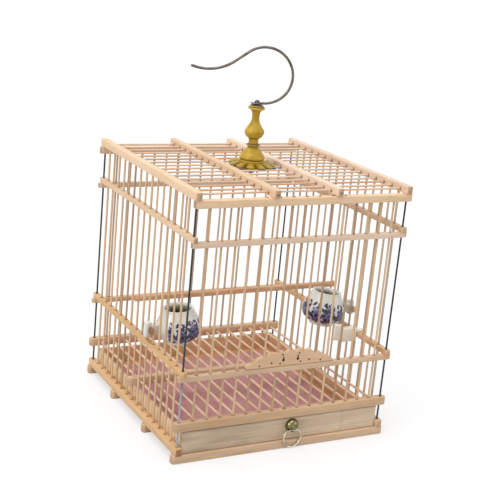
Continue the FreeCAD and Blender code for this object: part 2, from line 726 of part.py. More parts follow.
def build_cup(label, side):
    """A squat jar that leans on a lug between two splints, and the peg through the lug."""
    height = size("cup_height")
    wall = size("cup_wall")
    belly = size("cup_belly_radius")
    belly_z = size("cup_belly_z")
    foot = size("cup_foot_radius")
    foot_z = size("cup_foot_height")
    neck = size("cup_neck_radius")
    neck_z = size("cup_neck_z")
    lip = size("cup_lip_radius")
    lip_z = size("cup_lip_height")
    floor = size("cup_floor")
    full = size("cup_fullness")
    lower = (foot_z + belly_z) / 2
    upper = (belly_z + neck_z) / 2
    profile = [
        (0.0, 0.0),
        (foot, 0.0),
        (foot, foot_z),
        ((foot + full * (belly - foot), lower), (belly, belly_z)),
        ((neck + full * (belly - neck), upper), (neck, neck_z)),
        (neck, height - lip_z),
        ((lip, height - lip_z / 2), (neck, height)),
        (neck - wall, height),
        (neck - wall, neck_z),
        ((neck + full * (belly - neck) - wall, upper), (belly - wall, belly_z)),
        ((foot + full * (belly - foot) - wall, lower), (foot - wall, floor)),
        (0.0, floor),
    ]
    jar = new_body(f"{label}_jar")
    sketch = new_sketch(jar, "XZ_Plane")
    outline(sketch, profile)
    revolve(jar, sketch)
    body = new_body(f"{label}_lug")
    reach = "(Sizes.cup_inset + Sizes.lug_reach)"
    start = "(Sizes.cup_belly_radius - Sizes.lug_root)"
    head = f"({reach} - Sizes.lug_head_length)"
    arm = new_sketch(body, "XZ_Plane")
    rectangle(arm, f"{reach} - {start}", "Sizes.lug_height", start, "Sizes.lug_z - Sizes.lug_height / 2")
    pad(body, arm, "Sizes.lug_width", midplane=True)
    tab = new_sketch(body, "XZ_Plane")
    tab_low = "Sizes.lug_z - Sizes.lug_head_height / 2"
    rectangle(tab, "Sizes.lug_head_length", "Sizes.lug_head_height", head, tab_low)
    pad(body, tab, "Sizes.lug_width", midplane=True)
    peg_x = "(Sizes.cup_inset + Sizes.splint_dia / 2 + Sizes.peg_gap)"
    slot = new_sketch(body, "XZ_Plane", "-Sizes.lug_width / 2")
    rectangle(slot, "Sizes.peg_thick + 2 * Sizes.peg_gap", "Sizes.peg_height + 2 * Sizes.peg_gap",
              f"{peg_x} - Sizes.peg_gap", "Sizes.lug_z - Sizes.peg_height / 2 - Sizes.peg_gap")
    pocket(body, slot, "Sizes.lug_width", flip=True)
    forward = "-Sizes.pitch * Sizes.cup_bays_forward"
    turn = 180 if side < 0 else 0
    centre = f"({HALF} - Sizes.cup_inset)"
    cup_z = f"Sizes.{label}_z"
    lug = place(body, f"{side} * {centre}", forward, cup_z, turn)
    jar_x = f"{side} * ({centre} - Sizes.cup_belly_z * sin(Sizes.cup_lean_angle))"
    jar_z = f"{cup_z} + Sizes.cup_belly_z * (1 - cos(Sizes.cup_lean_angle))"
    place(jar, jar_x, forward, jar_z, side * size("cup_lean_angle"), (0, 1, 0))
    part(fuse(jar, lug), label)
    peg_z = f"{cup_z} + Sizes.lug_z - Sizes.peg_height / 2"
    peg_low = f"{centre} + {peg_x}" if side > 0 else f"-({centre} + {peg_x} + Sizes.peg_thick)"
    board(f"{label}_peg", "Sizes.peg_thick", "Sizes.peg_length", "Sizes.peg_height",
          peg_low, f"{forward} - Sizes.peg_length / 2", peg_z)


def build_clip():
    """A block hung inside the lower right strip by a lip, with an upright finger on its inner end."""
    strip_low = "(Sizes.lower_hoop_z + Sizes.hoop_height)"
    slot = "(Sizes.hoop_depth / 2 + Sizes.clip_gap)"
    inner = f"(-{slot} - Sizes.clip_length)"
    lip_low = "(Sizes.hoop_height + Sizes.clip_gap)"
    lip_lift = "(Sizes.clip_thick - Sizes.clip_lip_width) / 2"
    body = new_body("greens_clip")
    block = new_sketch(body, "XZ_Plane")
    rectangle(block, "Sizes.clip_length", "Sizes.clip_height", inner, "-Sizes.clip_drop")
    pad(body, block, "Sizes.clip_thick", midplane=True)
    lip = new_sketch(body, "XZ_Plane", lip_lift)
    rectangle(lip, f"2 * {slot} + Sizes.clip_hook_thick", "Sizes.clip_lip_thick", f"-{slot}", lip_low)
    pad(body, lip, "Sizes.clip_lip_width", midplane=True)
    hook = new_sketch(body, "XZ_Plane", lip_lift)
    rectangle(hook, "Sizes.clip_hook_thick", f"{lip_low} - Sizes.clip_hook_low", slot, "Sizes.clip_hook_low")
    pad(body, hook, "Sizes.clip_lip_width", midplane=True)
    finger = new_sketch(body, "XZ_Plane", "(Sizes.clip_thick - Sizes.clip_finger_thick) / 2")
    rectangle(finger, "Sizes.clip_finger", "Sizes.clip_finger_height", f"{inner} - Sizes.clip_finger",
              "Sizes.clip_finger_lift - Sizes.clip_drop")
    pad(body, finger, "Sizes.clip_finger_thick", midplane=True)
    part(place(body, HALF, "-Sizes.pitch * Sizes.clip_bays_forward", strip_low), "greens_clip")


SKIRT_Z = f"({TOP_SPLINT_Z} + Sizes.splint_dia / 2 + Sizes.glue_gap)"
FINIAL_Z = f"({SKIRT_Z} + Sizes.skirt_height)"
STAGES = ["rim", "bell", "cove", "ring", "waist", "bulb", "taper", "neck", "flare", "flange", "cap"]
POST_HEIGHT = "(" + " + ".join(f"Sizes.{stage}_height" for stage in STAGES) + ")"
WASHER_Z = f"({FINIAL_Z} + {POST_HEIGHT})"
HOOK_Z = f"({WASHER_Z} + Sizes.washer_thick + Sizes.hook_gap)"
PLATE_Z = f"({TOP_SPLINT_Z} - Sizes.splint_dia / 2 - Sizes.glue_gap - Sizes.plate_thick)"
BOLT_HOLE = "(Sizes.bolt_dia / 2 + Sizes.bolt_gap)"


def build_finial():
    """A turned post on a petal skirt, clamped to the top splints by one long bolt."""
    hole = size("bolt_dia") / 2 + size("bolt_gap")
    body = new_body("petal_skirt")
    sketch = new_sketch(body, "XZ_Plane")
    edge = size("skirt_radius")
    land = size("skirt_land")
    outline(sketch, [(hole, 0.0), (edge, 0.0), (edge, size("skirt_edge")),
                     (land, size("skirt_height")), (hole, size("skirt_height"))])
    revolve(body, sketch)
    notch = new_sketch(body, "XY_Plane", "Sizes.skirt_height")
    circle(notch, "Sizes.petal_notch_radius", "Sizes.skirt_radius + Sizes.petal_notch_offset", "0")
    scallop = pocket(body, notch)
    petals = body.newObject("PartDesign::PolarPattern", "Petals")
    petals.Originals = [scallop]
    petals.Axis = (notch, ["N_Axis"])
    petals.Angle = 360
    bind(petals, Occurrences="Sizes.skirt_petals")
    body.Tip = petals
    part(place(body, z=SKIRT_Z), "petal_skirt")
    build_post(hole)
    ring = cylinder("Sizes.washer_radius", "Sizes.washer_thick", z=WASHER_Z)
    part(cut(ring, cylinder(BOLT_HOLE, "Sizes.washer_thick", z=WASHER_Z)), "hook_washer")
    plate = box("Sizes.plate_length", "Sizes.plate_width", "Sizes.plate_thick",
                "-Sizes.plate_length / 2", "-Sizes.plate_width / 2", PLATE_Z)
    part(cut(plate, cylinder(BOLT_HOLE, "Sizes.plate_thick", z=PLATE_Z)), "clamp_plate")
    nut("clamp_nut", "Sizes.nut_flats", "Sizes.nut_thick", "Sizes.bolt_dia / 2 + Sizes.glue_gap",
        "0", "0", f"{PLATE_Z} - Sizes.nut_thick")
    low = f"({PLATE_Z} - Sizes.nut_thick - Sizes.bolt_proud)"
    head_z = f"({HOOK_Z} + Sizes.hook_eye_thick + Sizes.hook_gap)"
    shank = cylinder("Sizes.bolt_dia / 2", f"{head_z} - {low}", z=low)
    dome = doc.addObject("Part::Sphere", "Dome")
    dome.Angle1 = 0
    bind(dome, Radius="Sizes.bolt_head_radius")
    place(dome, z=head_z)
    part(fuse(shank, dome), "centre_bolt")


def build_post(hole):
    """The turned post: rim, bell, cove, ring, waist, pear bulb, neck, flange and cap."""
    tops = {}
    height = 0.0
    for stage in STAGES:
        height += size(f"{stage}_height")
        tops[stage] = height

    def level(stage, share=1.0):
        return tops[stage] - (1 - share) * size(f"{stage}_height")

    radius = {name: size(f"finial_{name}") for name in (
        "rim", "bell_foot", "bell", "shoulder", "cove", "ring", "waist", "bulb", "bulb_top",
        "taper", "neck", "flare", "flange", "cap")}
    profile = [
        (hole, 0.0),
        (radius["rim"], 0.0),
        (radius["rim"], level("rim")),
        (radius["bell_foot"], level("rim")),
        ((radius["bell"], level("bell", 0.35)), (radius["shoulder"], level("bell"))),
        ((radius["cove"], level("cove", 0.4)), (radius["waist"], level("cove"))),
        (radius["ring"], level("cove")),
        (radius["ring"], level("ring")),
        (radius["waist"], level("ring")),
        (radius["waist"], level("waist")),
        ((radius["bulb"], level("bulb", 0.55)), (radius["bulb_top"], level("bulb"))),
        ((radius["taper"], level("taper", 0.55)), (radius["neck"], level("taper"))),
        (radius["neck"], level("neck")),
        ((radius["flare"], level("flare", 0.65)), (radius["flange"], level("flare"))),
        (radius["flange"], level("flange")),
        (radius["cap"], level("flange")),
        (radius["cap"], level("cap")),
        (hole, level("cap")),
    ]
    body = new_body("finial_post")
    sketch = new_sketch(body, "XZ_Plane")
    outline(sketch, profile)
    revolve(body, sketch)
    part(place(body, z=FINIAL_Z), "finial_post")


def build_hook():
    """A wire bent into a loop with a back-curved tail, flattened into an eye at its foot."""
    wire = size("hook_dia") / 2
    loop = size("hook_loop_radius")
    tail = size("hook_tail_radius")
    eye = size("hook_eye_radius")
    thick = size("hook_eye_thick")
    centre = Vector(size("hook_loop_offset"), 0, wire + loop)
    start = Vector(centre.x - wire, 0, wire)

    def on_arc(middle, radius, degrees):
        angle = math.radians(degrees)
        return middle + Vector(radius * math.cos(angle), 0, radius * math.sin(angle))

    sweep = size("hook_loop_angle")
    foot = centre - Vector(0, 0, loop)
    crest = on_arc(centre, loop, -90 + sweep / 2)
    turn = on_arc(centre, loop, -90 + sweep)
    straight_end = on_arc(turn, size("hook_straight"), sweep)
    back = on_arc(straight_end, tail, -90 + sweep)
    lead = 90 + sweep
    bend = on_arc(back, tail, lead - size("hook_tail_angle") / 2)
    tip = on_arc(back, tail, lead - size("hook_tail_angle"))
    path = Part.Wire([
        Part.LineSegment(start, foot).toShape(),
        Part.Arc(foot, crest, turn).toShape(),
        Part.LineSegment(turn, straight_end).toShape(),
        Part.Arc(straight_end, bend, tip).toShape(),
    ])
    ring = Part.Wire(Part.makeCircle(wire, start, Vector(1, 0, 0)))
    stem = path.makePipeShell([ring], True, False)
    width = size("hook_eye_width")
    flat = Part.makeBox(2 * eye, width, thick, Vector(-eye, -width / 2, 0))
    corners = [edge for edge in flat.Edges if abs(edge.tangentAt(0).z) > 0.9]
    flat = flat.makeFillet(size("hook_eye_corner"), corners)
    hole = Part.makeCylinder(size("bolt_dia") / 2 + size("bolt_gap"), thick)
    hook = doc.addObject("Part::Feature", "hook")
    hook.Shape = flat.fuse(stem).removeSplitter().cut(hole)
    place(hook, z=HOOK_Z, turn=size("hook_turn_angle"))
    part(hook, "hook")


build_base()
build_floor()
build_hoops()
build_top()
build_splints()
build_door()
build_perch()
build_drawer()
build_cup("left_cup", -1)
build_cup("right_cup", 1)
build_clip()
build_finial()
build_hook()
doc.recompute()

for obj in doc.Objects:
    if "Invalid" in obj.State or "Error" in obj.State:
        raise RuntimeError(f"{obj.Label} failed: {obj.State}")
for obj in parts:
    if obj.Shape.isNull() or not obj.Shape.isValid() or not obj.Shape.Solids:
        raise RuntimeError(f"{obj.Label} has no sound solid")

os.makedirs("parts", exist_ok=True)
for obj in parts:
    obj.Shape.exportStep(f"parts/{obj.Label}.step")
print(len(parts), "sub-parts,", sum(len(obj.Shape.Solids) for obj in parts), "solids")
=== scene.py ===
"""The looks of a square bamboo bird cage.

Planed rails, drawn splints, a carved door board, a drawer with its liner, painted cups, a turned finial and
a wire hook. All is in metres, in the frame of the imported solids: the cage stands on z = 0, its door faces -Y.
"""
import math
import random

import bmesh
import bpy
from mathutils import Matrix, Vector, noise


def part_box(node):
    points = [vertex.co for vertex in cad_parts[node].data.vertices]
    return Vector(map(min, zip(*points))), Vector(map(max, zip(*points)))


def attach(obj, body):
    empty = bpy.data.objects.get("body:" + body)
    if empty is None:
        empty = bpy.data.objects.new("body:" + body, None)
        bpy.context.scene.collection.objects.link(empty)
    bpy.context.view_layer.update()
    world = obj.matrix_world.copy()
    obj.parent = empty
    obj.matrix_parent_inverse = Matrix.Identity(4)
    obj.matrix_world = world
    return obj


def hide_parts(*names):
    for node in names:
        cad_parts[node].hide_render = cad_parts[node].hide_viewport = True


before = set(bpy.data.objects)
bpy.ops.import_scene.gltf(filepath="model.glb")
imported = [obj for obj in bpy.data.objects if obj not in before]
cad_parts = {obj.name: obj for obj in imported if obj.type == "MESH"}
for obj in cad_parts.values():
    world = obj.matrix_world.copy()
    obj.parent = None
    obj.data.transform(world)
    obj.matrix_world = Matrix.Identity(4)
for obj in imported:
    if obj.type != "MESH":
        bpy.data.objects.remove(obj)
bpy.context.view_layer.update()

MM = 0.001
PITCH = 15 * MM
HALF = 120 * MM
SPLINT_RADIUS = 1.3 * MM
BORE_RING_REACH = 2.3 * MM
FAR = 1.0
QUARTER = math.pi / 2
X, Y, Z = 0, 1, 2
# The colour that painted shade, painted shadow and stains multiply into a surface at their darkest.
SHADE_STAIN_COLOUR = (0.18, 0.13, 0.1, 1.0)
WHITE = (1.0, 1.0, 1.0, 1.0)
chance = random.Random(11)


def colour(red, green, blue):
    """A screen colour, 0 to 255, as the linear one that a shader takes."""
    def linear(level):
        level /= 255
        return level / 12.92 if level <= 0.04045 else ((level + 0.055) / 1.055) ** 2.4
    return linear(red), linear(green), linear(blue), 1.0


def any_vector(reach):
    """A vector drawn by chance, each of its parts between nothing and a reach."""
    return Vector([chance.uniform(0, reach) for _ in range(3)])


# Selecting and shaping

def object_mode():
    """Leave edit mode."""
    if bpy.context.object and bpy.context.object.mode != "OBJECT":
        bpy.ops.object.mode_set(mode="OBJECT")


def clear_selection():
    """Leave edit mode with nothing selected."""
    object_mode()
    bpy.ops.object.select_all(action="DESELECT")


def only(piece):
    """Select one piece alone."""
    clear_selection()
    piece.select_set(True)
    bpy.context.view_layer.objects.active = piece


def added(name):
    """The primitive just added, under its own name."""
    piece = bpy.context.object
    piece.name = name
    piece.data.name = name
    return piece


def settle(piece):
    """Put a piece's place, turn and scale into its mesh."""
    only(piece)
    bpy.ops.object.transform_apply(location=True, rotation=True, scale=True)


def set_down(piece, place, turn=(0, 0, 0)):
    """Turn a piece, move it to its place, and put both into its mesh."""
    piece.rotation_euler = turn
    piece.location = place
    settle(piece)


def edit(piece, kind="VERT", chosen=True):
    """Go into edit mode with all of a piece selected, or none of it."""
    only(piece)
    bpy.ops.object.mode_set(mode="EDIT")
    bpy.ops.mesh.select_mode(type=kind)
    bpy.ops.mesh.select_all(action="SELECT" if chosen else "DESELECT")


def pick(piece, kind, test):
    """Go into edit mode with the points, edges or faces selected that pass a test."""
    edit(piece, kind, chosen=False)
    shape = bmesh.from_edit_mesh(piece.data)
    parts = {"VERT": shape.verts, "EDGE": shape.edges, "FACE": shape.faces}[kind]
    for part in parts:
        if test(part):
            part.select_set(True)
    shape.select_flush_mode()
    bmesh.update_edit_mesh(piece.data)


def face_outwards(piece):
    """Turn every face of a piece outwards."""
    edit(piece)
    bpy.ops.mesh.normals_make_consistent(inside=False)
    object_mode()


def close_up(piece):
    """Merge doubled points, close the ends and turn every face outwards."""
    edit(piece)
    bpy.ops.mesh.remove_doubles(threshold=0.002 * MM)
    bpy.ops.mesh.fill_holes(sides=0)
    bpy.ops.mesh.normals_make_consistent(inside=False)
    object_mode()


def apply_modifier(piece, kind, **settings):
    """Add a modifier with its settings and apply it."""
    only(piece)
    modifier = piece.modifiers.new(kind.title(), kind)
    for name, value in settings.items():
        setattr(modifier, name, value)
    bpy.ops.object.modifier_apply(modifier=modifier.name)


def soften(piece, width, segments=3):
    """Round the sharp edges of a piece."""
    apply_modifier(piece, "BEVEL", width=width, segments=segments, limit_method="ANGLE",
                   angle_limit=math.radians(50))


def drill(piece, tool):
    """Cut a tool's shape out of a piece, and throw the tool away."""
    apply_modifier(piece, "BOOLEAN", object=tool, operation="DIFFERENCE", solver="EXACT")
    bpy.data.objects.remove(tool)


def weld(piece, other):
    """Make one skin of two pieces."""
    apply_modifier(piece, "BOOLEAN", object=other, operation="UNION", solver="EXACT")
    bpy.data.objects.remove(other)


def joined(name, pieces):
    """Make one object of several."""
    only(pieces[0])
    for piece in pieces:
        piece.select_set(True)
    bpy.ops.object.join()
    return added(name)


def copied(piece):
    """A copy of a piece with a mesh of its own."""
    copy = piece.copy()
    copy.data = piece.data.copy()
    bpy.context.collection.objects.link(copy)
    return copy


def sway(piece, reach, size=55 * MM):
    """The unevenness of hand work: every point drifts a little, its neighbours with it."""
    start = any_vector(9)
    for point in piece.data.vertices:
        point.co += noise.noise_vector(point.co / size + start) * reach


def add_vectors(piece, name, make):
    """Keep a vector, made from its place, on every point."""
    layer = piece.data.attributes.new(name, "FLOAT_VECTOR", "POINT")
    for point, cell in zip(piece.data.vertices, layer.data):
        cell.vector = make(point.co)


def add_numbers(piece, name, make):
    """Keep a number, made from its place, on every point."""
    layer = piece.data.attributes.new(name, "FLOAT", "POINT")
    for point, cell in zip(piece.data.vertices, layer.data):
        cell.value = make(point.co)


def eased(points, steps=5):
    """A smooth line through the points of an outline."""
    points = [Vector(point) for point in points]
    line = []
    for here in range(len(points) - 1):
        before = points[max(here - 1, 0)]
        start, end = points[here], points[here + 1]
        after = points[min(here + 2, len(points) - 1)]
        for step in range(steps):
            t = step / steps
            line.append(0.5 * (2 * start + (end - before) * t
                               + (2 * before - 5 * start + 4 * end - after) * t ** 2
                               + (3 * start - before - 3 * end + after) * t ** 3))
    return [tuple(point) for point in line] + [tuple(points[-1])]


# Node trees

class Signal:
    """An output of a node. A sum written with signals adds its nodes to their tree."""

    def __init__(self, socket):
        self.socket = socket
        self.tree = socket.id_data

    def maths(self, operation, *others):
        """One sum of this signal and others."""
        return signal(self.tree, "ShaderNodeMath", dict(enumerate((self, *others))), operation=operation)

    def __add__(self, other):
        return self.maths("ADD", other)

    def __sub__(self, other):
        return self.maths("SUBTRACT", other)

    def __mul__(self, other):
        return self.maths("MULTIPLY", other)

    def __truediv__(self, other):
        return self.maths("DIVIDE", other)

    def __pow__(self, other):
        return self.maths("POWER", other)

    def __abs__(self):
        return self.maths("ABSOLUTE")

    def rest(self):
        """What this signal leaves of 1."""
        return signal(self.tree, "ShaderNodeMath", {0: 1.0, 1: self}, operation="SUBTRACT")

    def step(self, low, high):
        """0 below low, 1 above high, and smooth between them."""
        return signal(self.tree, "ShaderNodeMapRange", {0: self, 1: low, 2: high},
                      interpolation_type="SMOOTHSTEP")

    def parts(self):
        """The three parts of this vector or colour."""
        return [Signal(part) for part in put(self.tree, "ShaderNodeSeparateXYZ", {0: self}).outputs]

    def stretched(self, x, y, z):
        """This vector, stretched along its three parts."""
        return signal(self.tree, "ShaderNodeVectorMath", {0: self, 1: (x, y, z)}, operation="MULTIPLY")

    def cloud(self, scale, detail=3.0, roughness=0.55):
        """Noise at this place, as a value."""
        return signal(self.tree, "ShaderNodeTexNoise", {
            "Vector": self, "Scale": scale, "Detail": detail, "Roughness": roughness})


def send(value, socket):
    """Lead a signal to a socket."""
    value.tree.links.new(value.socket, socket)


def put(tree, kind, feeds=None, **settings):
    """Add a node with its settings; each of its inputs is fed by a value or by a signal."""
    made = tree.nodes.new(kind)
    for name, value in settings.items():
        setattr(made, name, value)
    for key, value in (feeds or {}).items():
        if isinstance(value, Signal):
            send(value, made.inputs[key])
        else:
            made.inputs[key].default_value = value
    return made


def signal(tree, kind, feeds=None, part=0, **settings):
    """Add a node, and give one of its outputs."""
    return Signal(put(tree, kind, feeds, **settings).outputs[part])


def blend(share, first, second, kind="MIX"):
    """Mix two colours, at least one of the three being a signal."""
    tree = next(value.tree for value in (share, first, second) if isinstance(value, Signal))
    feeds = {0: share, 6: first, 7: second}
    return signal(tree, "ShaderNodeMix", feeds, 2, data_type="RGBA", blend_type=kind)


def attribute(tree, name, part="Fac"):
    """What a piece keeps on its points under a name."""
    return signal(tree, "ShaderNodeAttribute", part=part, attribute_name=name)


def own_place(tree):
    """The place on a piece, in its own frame."""
    return signal(tree, "ShaderNodeTexCoord", part="Object")


def facing(tree):
    """Which way a surface faces."""
    return signal(tree, "ShaderNodeNewGeometry", part="Normal")


def named(sockets):
    """The outputs of a node as signals, under their names."""
    return {socket.name: Signal(socket) for socket in sockets}


def start_group(name, inputs, outputs):
    """A new node group: its tree, the signals that come in, and the sockets that go out."""
    tree = bpy.data.node_groups.new(name, "ShaderNodeTree")
    for labels, way in ((inputs, "INPUT"), (outputs, "OUTPUT")):
        for label, kind in labels.items():
            tree.interface.new_socket(label, in_out=way, socket_type=f"NodeSocket{kind}")
    come = named(tree.nodes.new("NodeGroupInput").outputs)
    return tree, come, tree.nodes.new("NodeGroupOutput").inputs


def use_group(tree, group, feeds):
    """Place a group, and give its outputs."""
    return named(put(tree, "ShaderNodeGroup", feeds, node_tree=group).outputs)


def start_material(name, values):
    """A new material: its tree and its shader's sockets, with plain values set on them."""
    material = bpy.data.materials.new(name)
    material.use_nodes = True
    sockets = material.node_tree.nodes["Principled BSDF"].inputs
    for label, value in values.items():
        sockets[label].default_value = value
    return material, material.node_tree, sockets


def bump(sockets, height, strength, depth):
    """Raise a surface by a height from its nodes."""
    send(signal(height.tree, "ShaderNodeBump", {"Height": height, "Strength": strength, "Distance": depth}),
         sockets["Normal"])


def fibre_group():
    """Long bamboo fibres: streaks, fine lines, slow blotches and short dark dashes."""
    tree, come, go = start_group(
        "bamboo_fibre",
        {"Grain": "Vector", "Pale": "Color", "Deep": "Color", "Dash": "Color", "Contrast": "Float"},
        {"Colour": "Color", "Shade": "Float", "Height": "Float"})
    grain, contrast = come["Grain"], come["Contrast"]
    streak = grain.stretched(22, 620, 620).cloud(1.0)
    line = grain.stretched(55, 2300, 2300).cloud(1.0, 2.0)
    blotch = grain.stretched(14, 60, 60).cloud(1.0, 2.0)
    shade = (line * 0.3 + (streak * 0.55 + blotch * 0.45) * 0.7).step(0.36, 0.64)
    dash = grain.stretched(110, 1500, 1500).cloud(1.0, 1.0).step(0.66, 0.78)
    body = blend(shade * contrast, come["Pale"], come["Deep"])
    send(blend(dash * (contrast * 0.45), body, come["Dash"]), go["Colour"])
    send(shade, go["Shade"])
    send(dash * -0.3 + (streak * 0.5 + line * 0.5), go["Height"])
    return tree


def tone_group():
    """One piece of the same stuff lighter, darker, warmer or greyer than the next."""
    tree, come, go = start_group(
        "piece_tone", {"Colour": "Color", "Tint": "Float", "Range": "Float"}, {"Colour": "Color"})
    swing = (come["Tint"] - 0.5) * come["Range"]
    other = ((come["Tint"] * 7.31).maths("FRACT") - 0.5) * come["Range"]
    send(signal(tree, "ShaderNodeHueSaturation", {
        "Hue": other * 0.02 + 0.5, "Saturation": other * 0.8 + 1.0, "Value": swing * 0.5 + 1.0,
        "Color": come["Colour"]}), go["Colour"])
    return tree


def bore_group():
    """Darker rings round the holes that the splints pass through, on the upper, lower and side faces."""
    tree, come, go = start_group("bore_ring", {"Bores": "Vector", "Reach": "Float"}, {"Mask": "Float"})
    along, across, level = come["Bores"].parts()
    flat = abs(facing(tree).parts()[Z]).step(0.6, 0.8)

    def ring(run, off):
        near = run.maths("PINGPONG", PITCH / 2)
        away = (near ** 2 + off ** 2).maths("SQRT")
        return away.step(SPLINT_RADIUS, come["Reach"]).rest()

    upright = ring(along, across) * flat
    sideways = ring(along + PITCH / 2, level) * flat.rest()
    send(upright.maths("MAXIMUM", sideways), go["Mask"])
    return tree


def end_group():
    """Sawn ends: a mask, and the dots of the cut fibres."""
    tree, come, go = start_group(
        "end_grain", {"Grain": "Vector", "Lie": "Vector"}, {"Mask": "Float", "Dots": "Float"})
    along = signal(tree, "ShaderNodeVectorMath", {0: facing(tree), 1: come["Lie"]}, "Value",
                   operation="DOT_PRODUCT")
    send(abs(along).step(0.55, 0.85), go["Mask"])
    cells = signal(tree, "ShaderNodeTexVoronoi", {
        "Vector": come["Grain"].stretched(0, 1, 1), "Scale": 1500.0, "Randomness": 0.9})
    send(cells.step(0.15, 0.5).rest(), go["Dots"])
    return tree


def worn_metal_group():
    """Handled metal: cloudy tarnish and fine scratches from rubbing."""
    tree, come, go = start_group(
        "worn_metal", {"Place": "Vector", "Clean": "Color", "Tarnish": "Color"},
        {"Colour": "Color", "Shade": "Float", "Height": "Float"})
    stain = come["Place"].cloud(160.0, 4.0).step(0.45, 0.75)
    rub = come["Place"].stretched(900, 900, 5200).cloud(1.0, 2.0)
    shade = rub * 0.25 + stain * 0.75
    send(blend(shade, come["Clean"], come["Tarnish"]), go["Colour"])
    send(shade, go["Shade"])
    send(rub, go["Height"])
    return tree


def blossom_group():
    """A painted blossom: lobed petals with pale veins and a ringed heart, as an amount of ink."""
    tree, come, go = start_group(
        "painted_blossom", {"Across": "Float", "Up": "Float", "Size": "Float", "Petals": "Float"},
        {"Ink": "Float"})
    across, up = come["Across"] / come["Size"], come["Up"] / come["Size"]
    half_turn = up.maths("ARCTAN2", across) * come["Petals"] * 0.5
    lobe = abs(half_turn.maths("COSINE")) * 0.36 + 0.64
    share = (across ** 2 + up ** 2).maths("SQRT") / lobe
    body = share.step(0.86, 1.0).rest()
    vein = abs(half_turn.maths("SINE")).step(0.93, 0.99) * share.step(0.3, 0.45)
    heart = abs(share - 0.3).step(0.02, 0.06).rest()
    fade = share.step(0.25, 0.85) * 0.35 + 0.65
    send(body * fade * (vein * 0.8).maths("MAXIMUM", heart).rest(), go["Ink"])
    return tree


def leaf_group():
    """A painted leaf: a pointed oval with a pale midrib, turned by an angle, as an amount of ink."""
    tree, come, go = start_group(
        "painted_leaf",
        {"Across": "Float", "Up": "Float", "Length": "Float", "Width": "Float", "Turn": "Float"},
        {"Ink": "Float"})
    across, up = come["Across"], come["Up"]
    cosine, sine = come["Turn"].maths("COSINE"), come["Turn"].maths("SINE")
    along = abs((across * cosine + up * sine) / come["Length"])
    beside = abs(up * cosine - across * sine)
    room = come["Width"] * (along ** 1.7).rest()
    rib = beside.step(0.05, 0.3)
    send((room - beside).step(0.0, 0.35) * (rib * 0.5 + 0.5), go["Ink"])
    return tree


FIBRE = fibre_group()
TONE = tone_group()
BORE_RING = bore_group()
END_GRAIN = end_group()
WORN_METAL = worn_metal_group()
BLOSSOM = blossom_group()
LEAF = leaf_group()


# Materials

def rail_bamboo(name, pale, deep, contrast=0.8, spread=0.35, ends=((196, 158, 120), (140, 98, 64)),
                end_share=0.6, ring_dark=0.5):
    """Planed bamboo: fibres along the piece, darker rings round the bores, brown sawn ends, and the painted
    shade, shadow and stains a piece keeps.
    """
    material, tree, sockets = start_material(name, {"Specular IOR Level": 0.35})
    grain = attribute(tree, "grain", "Vector")
    fibre = use_group(tree, FIBRE, {
        "Grain": grain, "Pale": colour(*pale), "Deep": colour(*deep), "Dash": colour(160, 114, 76),
        "Contrast": contrast})
    tone = use_group(tree, TONE, {
        "Colour": fibre["Colour"], "Tint": attribute(tree, "tint"), "Range": spread})
    end = use_group(tree, END_GRAIN, {"Grain": grain, "Lie": attribute(tree, "lie", "Vector")})
    cut = blend(end["Dots"] * 0.5, colour(*ends[0]), colour(*ends[1]))
    body = blend(end["Mask"] * end_share, tone["Colour"], cut)
    ring = use_group(tree, BORE_RING, {"Bores": attribute(tree, "bores", "Vector"), "Reach": BORE_RING_REACH})
    body = blend(ring["Mask"] * ring_dark, body, colour(104, 64, 38))
    # Painted shade and shadow, and stains, as a piece keeps them on its points and faces.
    shade_and_stain = attribute(tree, "shade_and_stain").maths("MAXIMUM", attribute(tree, "hole_shade"))
    send(blend(shade_and_stain, body, SHADE_STAIN_COLOUR, "MULTIPLY"), sockets["Base Color"])
    send(fibre["Shade"] * 0.16 + 0.42, sockets["Roughness"])
    bump(sockets, fibre["Height"], 0.35, 0.15 * MM)
    return material


def splint_bamboo(name, stops):
    """Drawn splints: each its own tan or grey, darker where it enters a rail."""
    material, tree, sockets = start_material(name, {"Specular IOR Level": 0.35})
    ramp = put(tree, "ShaderNodeValToRGB", {0: attribute(tree, "tint")})
    ramp.color_ramp.interpolation = "B_SPLINE"
    marks = ramp.color_ramp.elements
    for place, _ in stops[1:-1]:
        marks.new(place)
    for mark, (place, shade) in zip(marks, stops):
        mark.position = place
        mark.color = colour(*shade)
    pale = Signal(ramp.outputs[0])
    deep = blend(1.0, pale, (0.78, 0.74, 0.7, 1.0), "MULTIPLY")
    fibre = use_group(tree, FIBRE, {
        "Grain": attribute(tree, "grain", "Vector"), "Pale": pale, "Deep": deep, "Dash": colour(126, 88, 58),
        "Contrast": 0.85})
    entry = attribute(tree, "entry") * 0.4
    send(blend(entry, fibre["Colour"], colour(104, 70, 46)), sockets["Base Color"])
    send(fibre["Shade"] * 0.2 + 0.36, sockets["Roughness"])
    bump(sockets, fibre["Height"], 0.3, 0.12 * MM)
    return material


def liner_paper():
    """Mauve liner paper with faint mottling and a dry fibre, tan along its right and back edges."""
    material, tree, sockets = start_material("liner_paper", {"Roughness": 0.85, "Specular IOR Level": 0.2})
    place = own_place(tree)
    mottle = place.cloud(45.0, 5.0, 0.65).step(0.35, 0.7)
    fleck = place.cloud(1400.0, 2.0)
    across, back, _ = place.parts()
    border = back.step(98 * MM, 104 * MM).maths("MAXIMUM", across.step(102 * MM, 108 * MM))
    body = blend(mottle, colour(208, 160, 160), colour(190, 140, 144))
    body = blend(border, body, colour(210, 164, 120))
    send(blend(fleck.step(0.55, 0.75) * 0.3, body, colour(224, 186, 188)), sockets["Base Color"])
    bump(sockets, fleck, 0.2, 0.1 * MM)
    return material


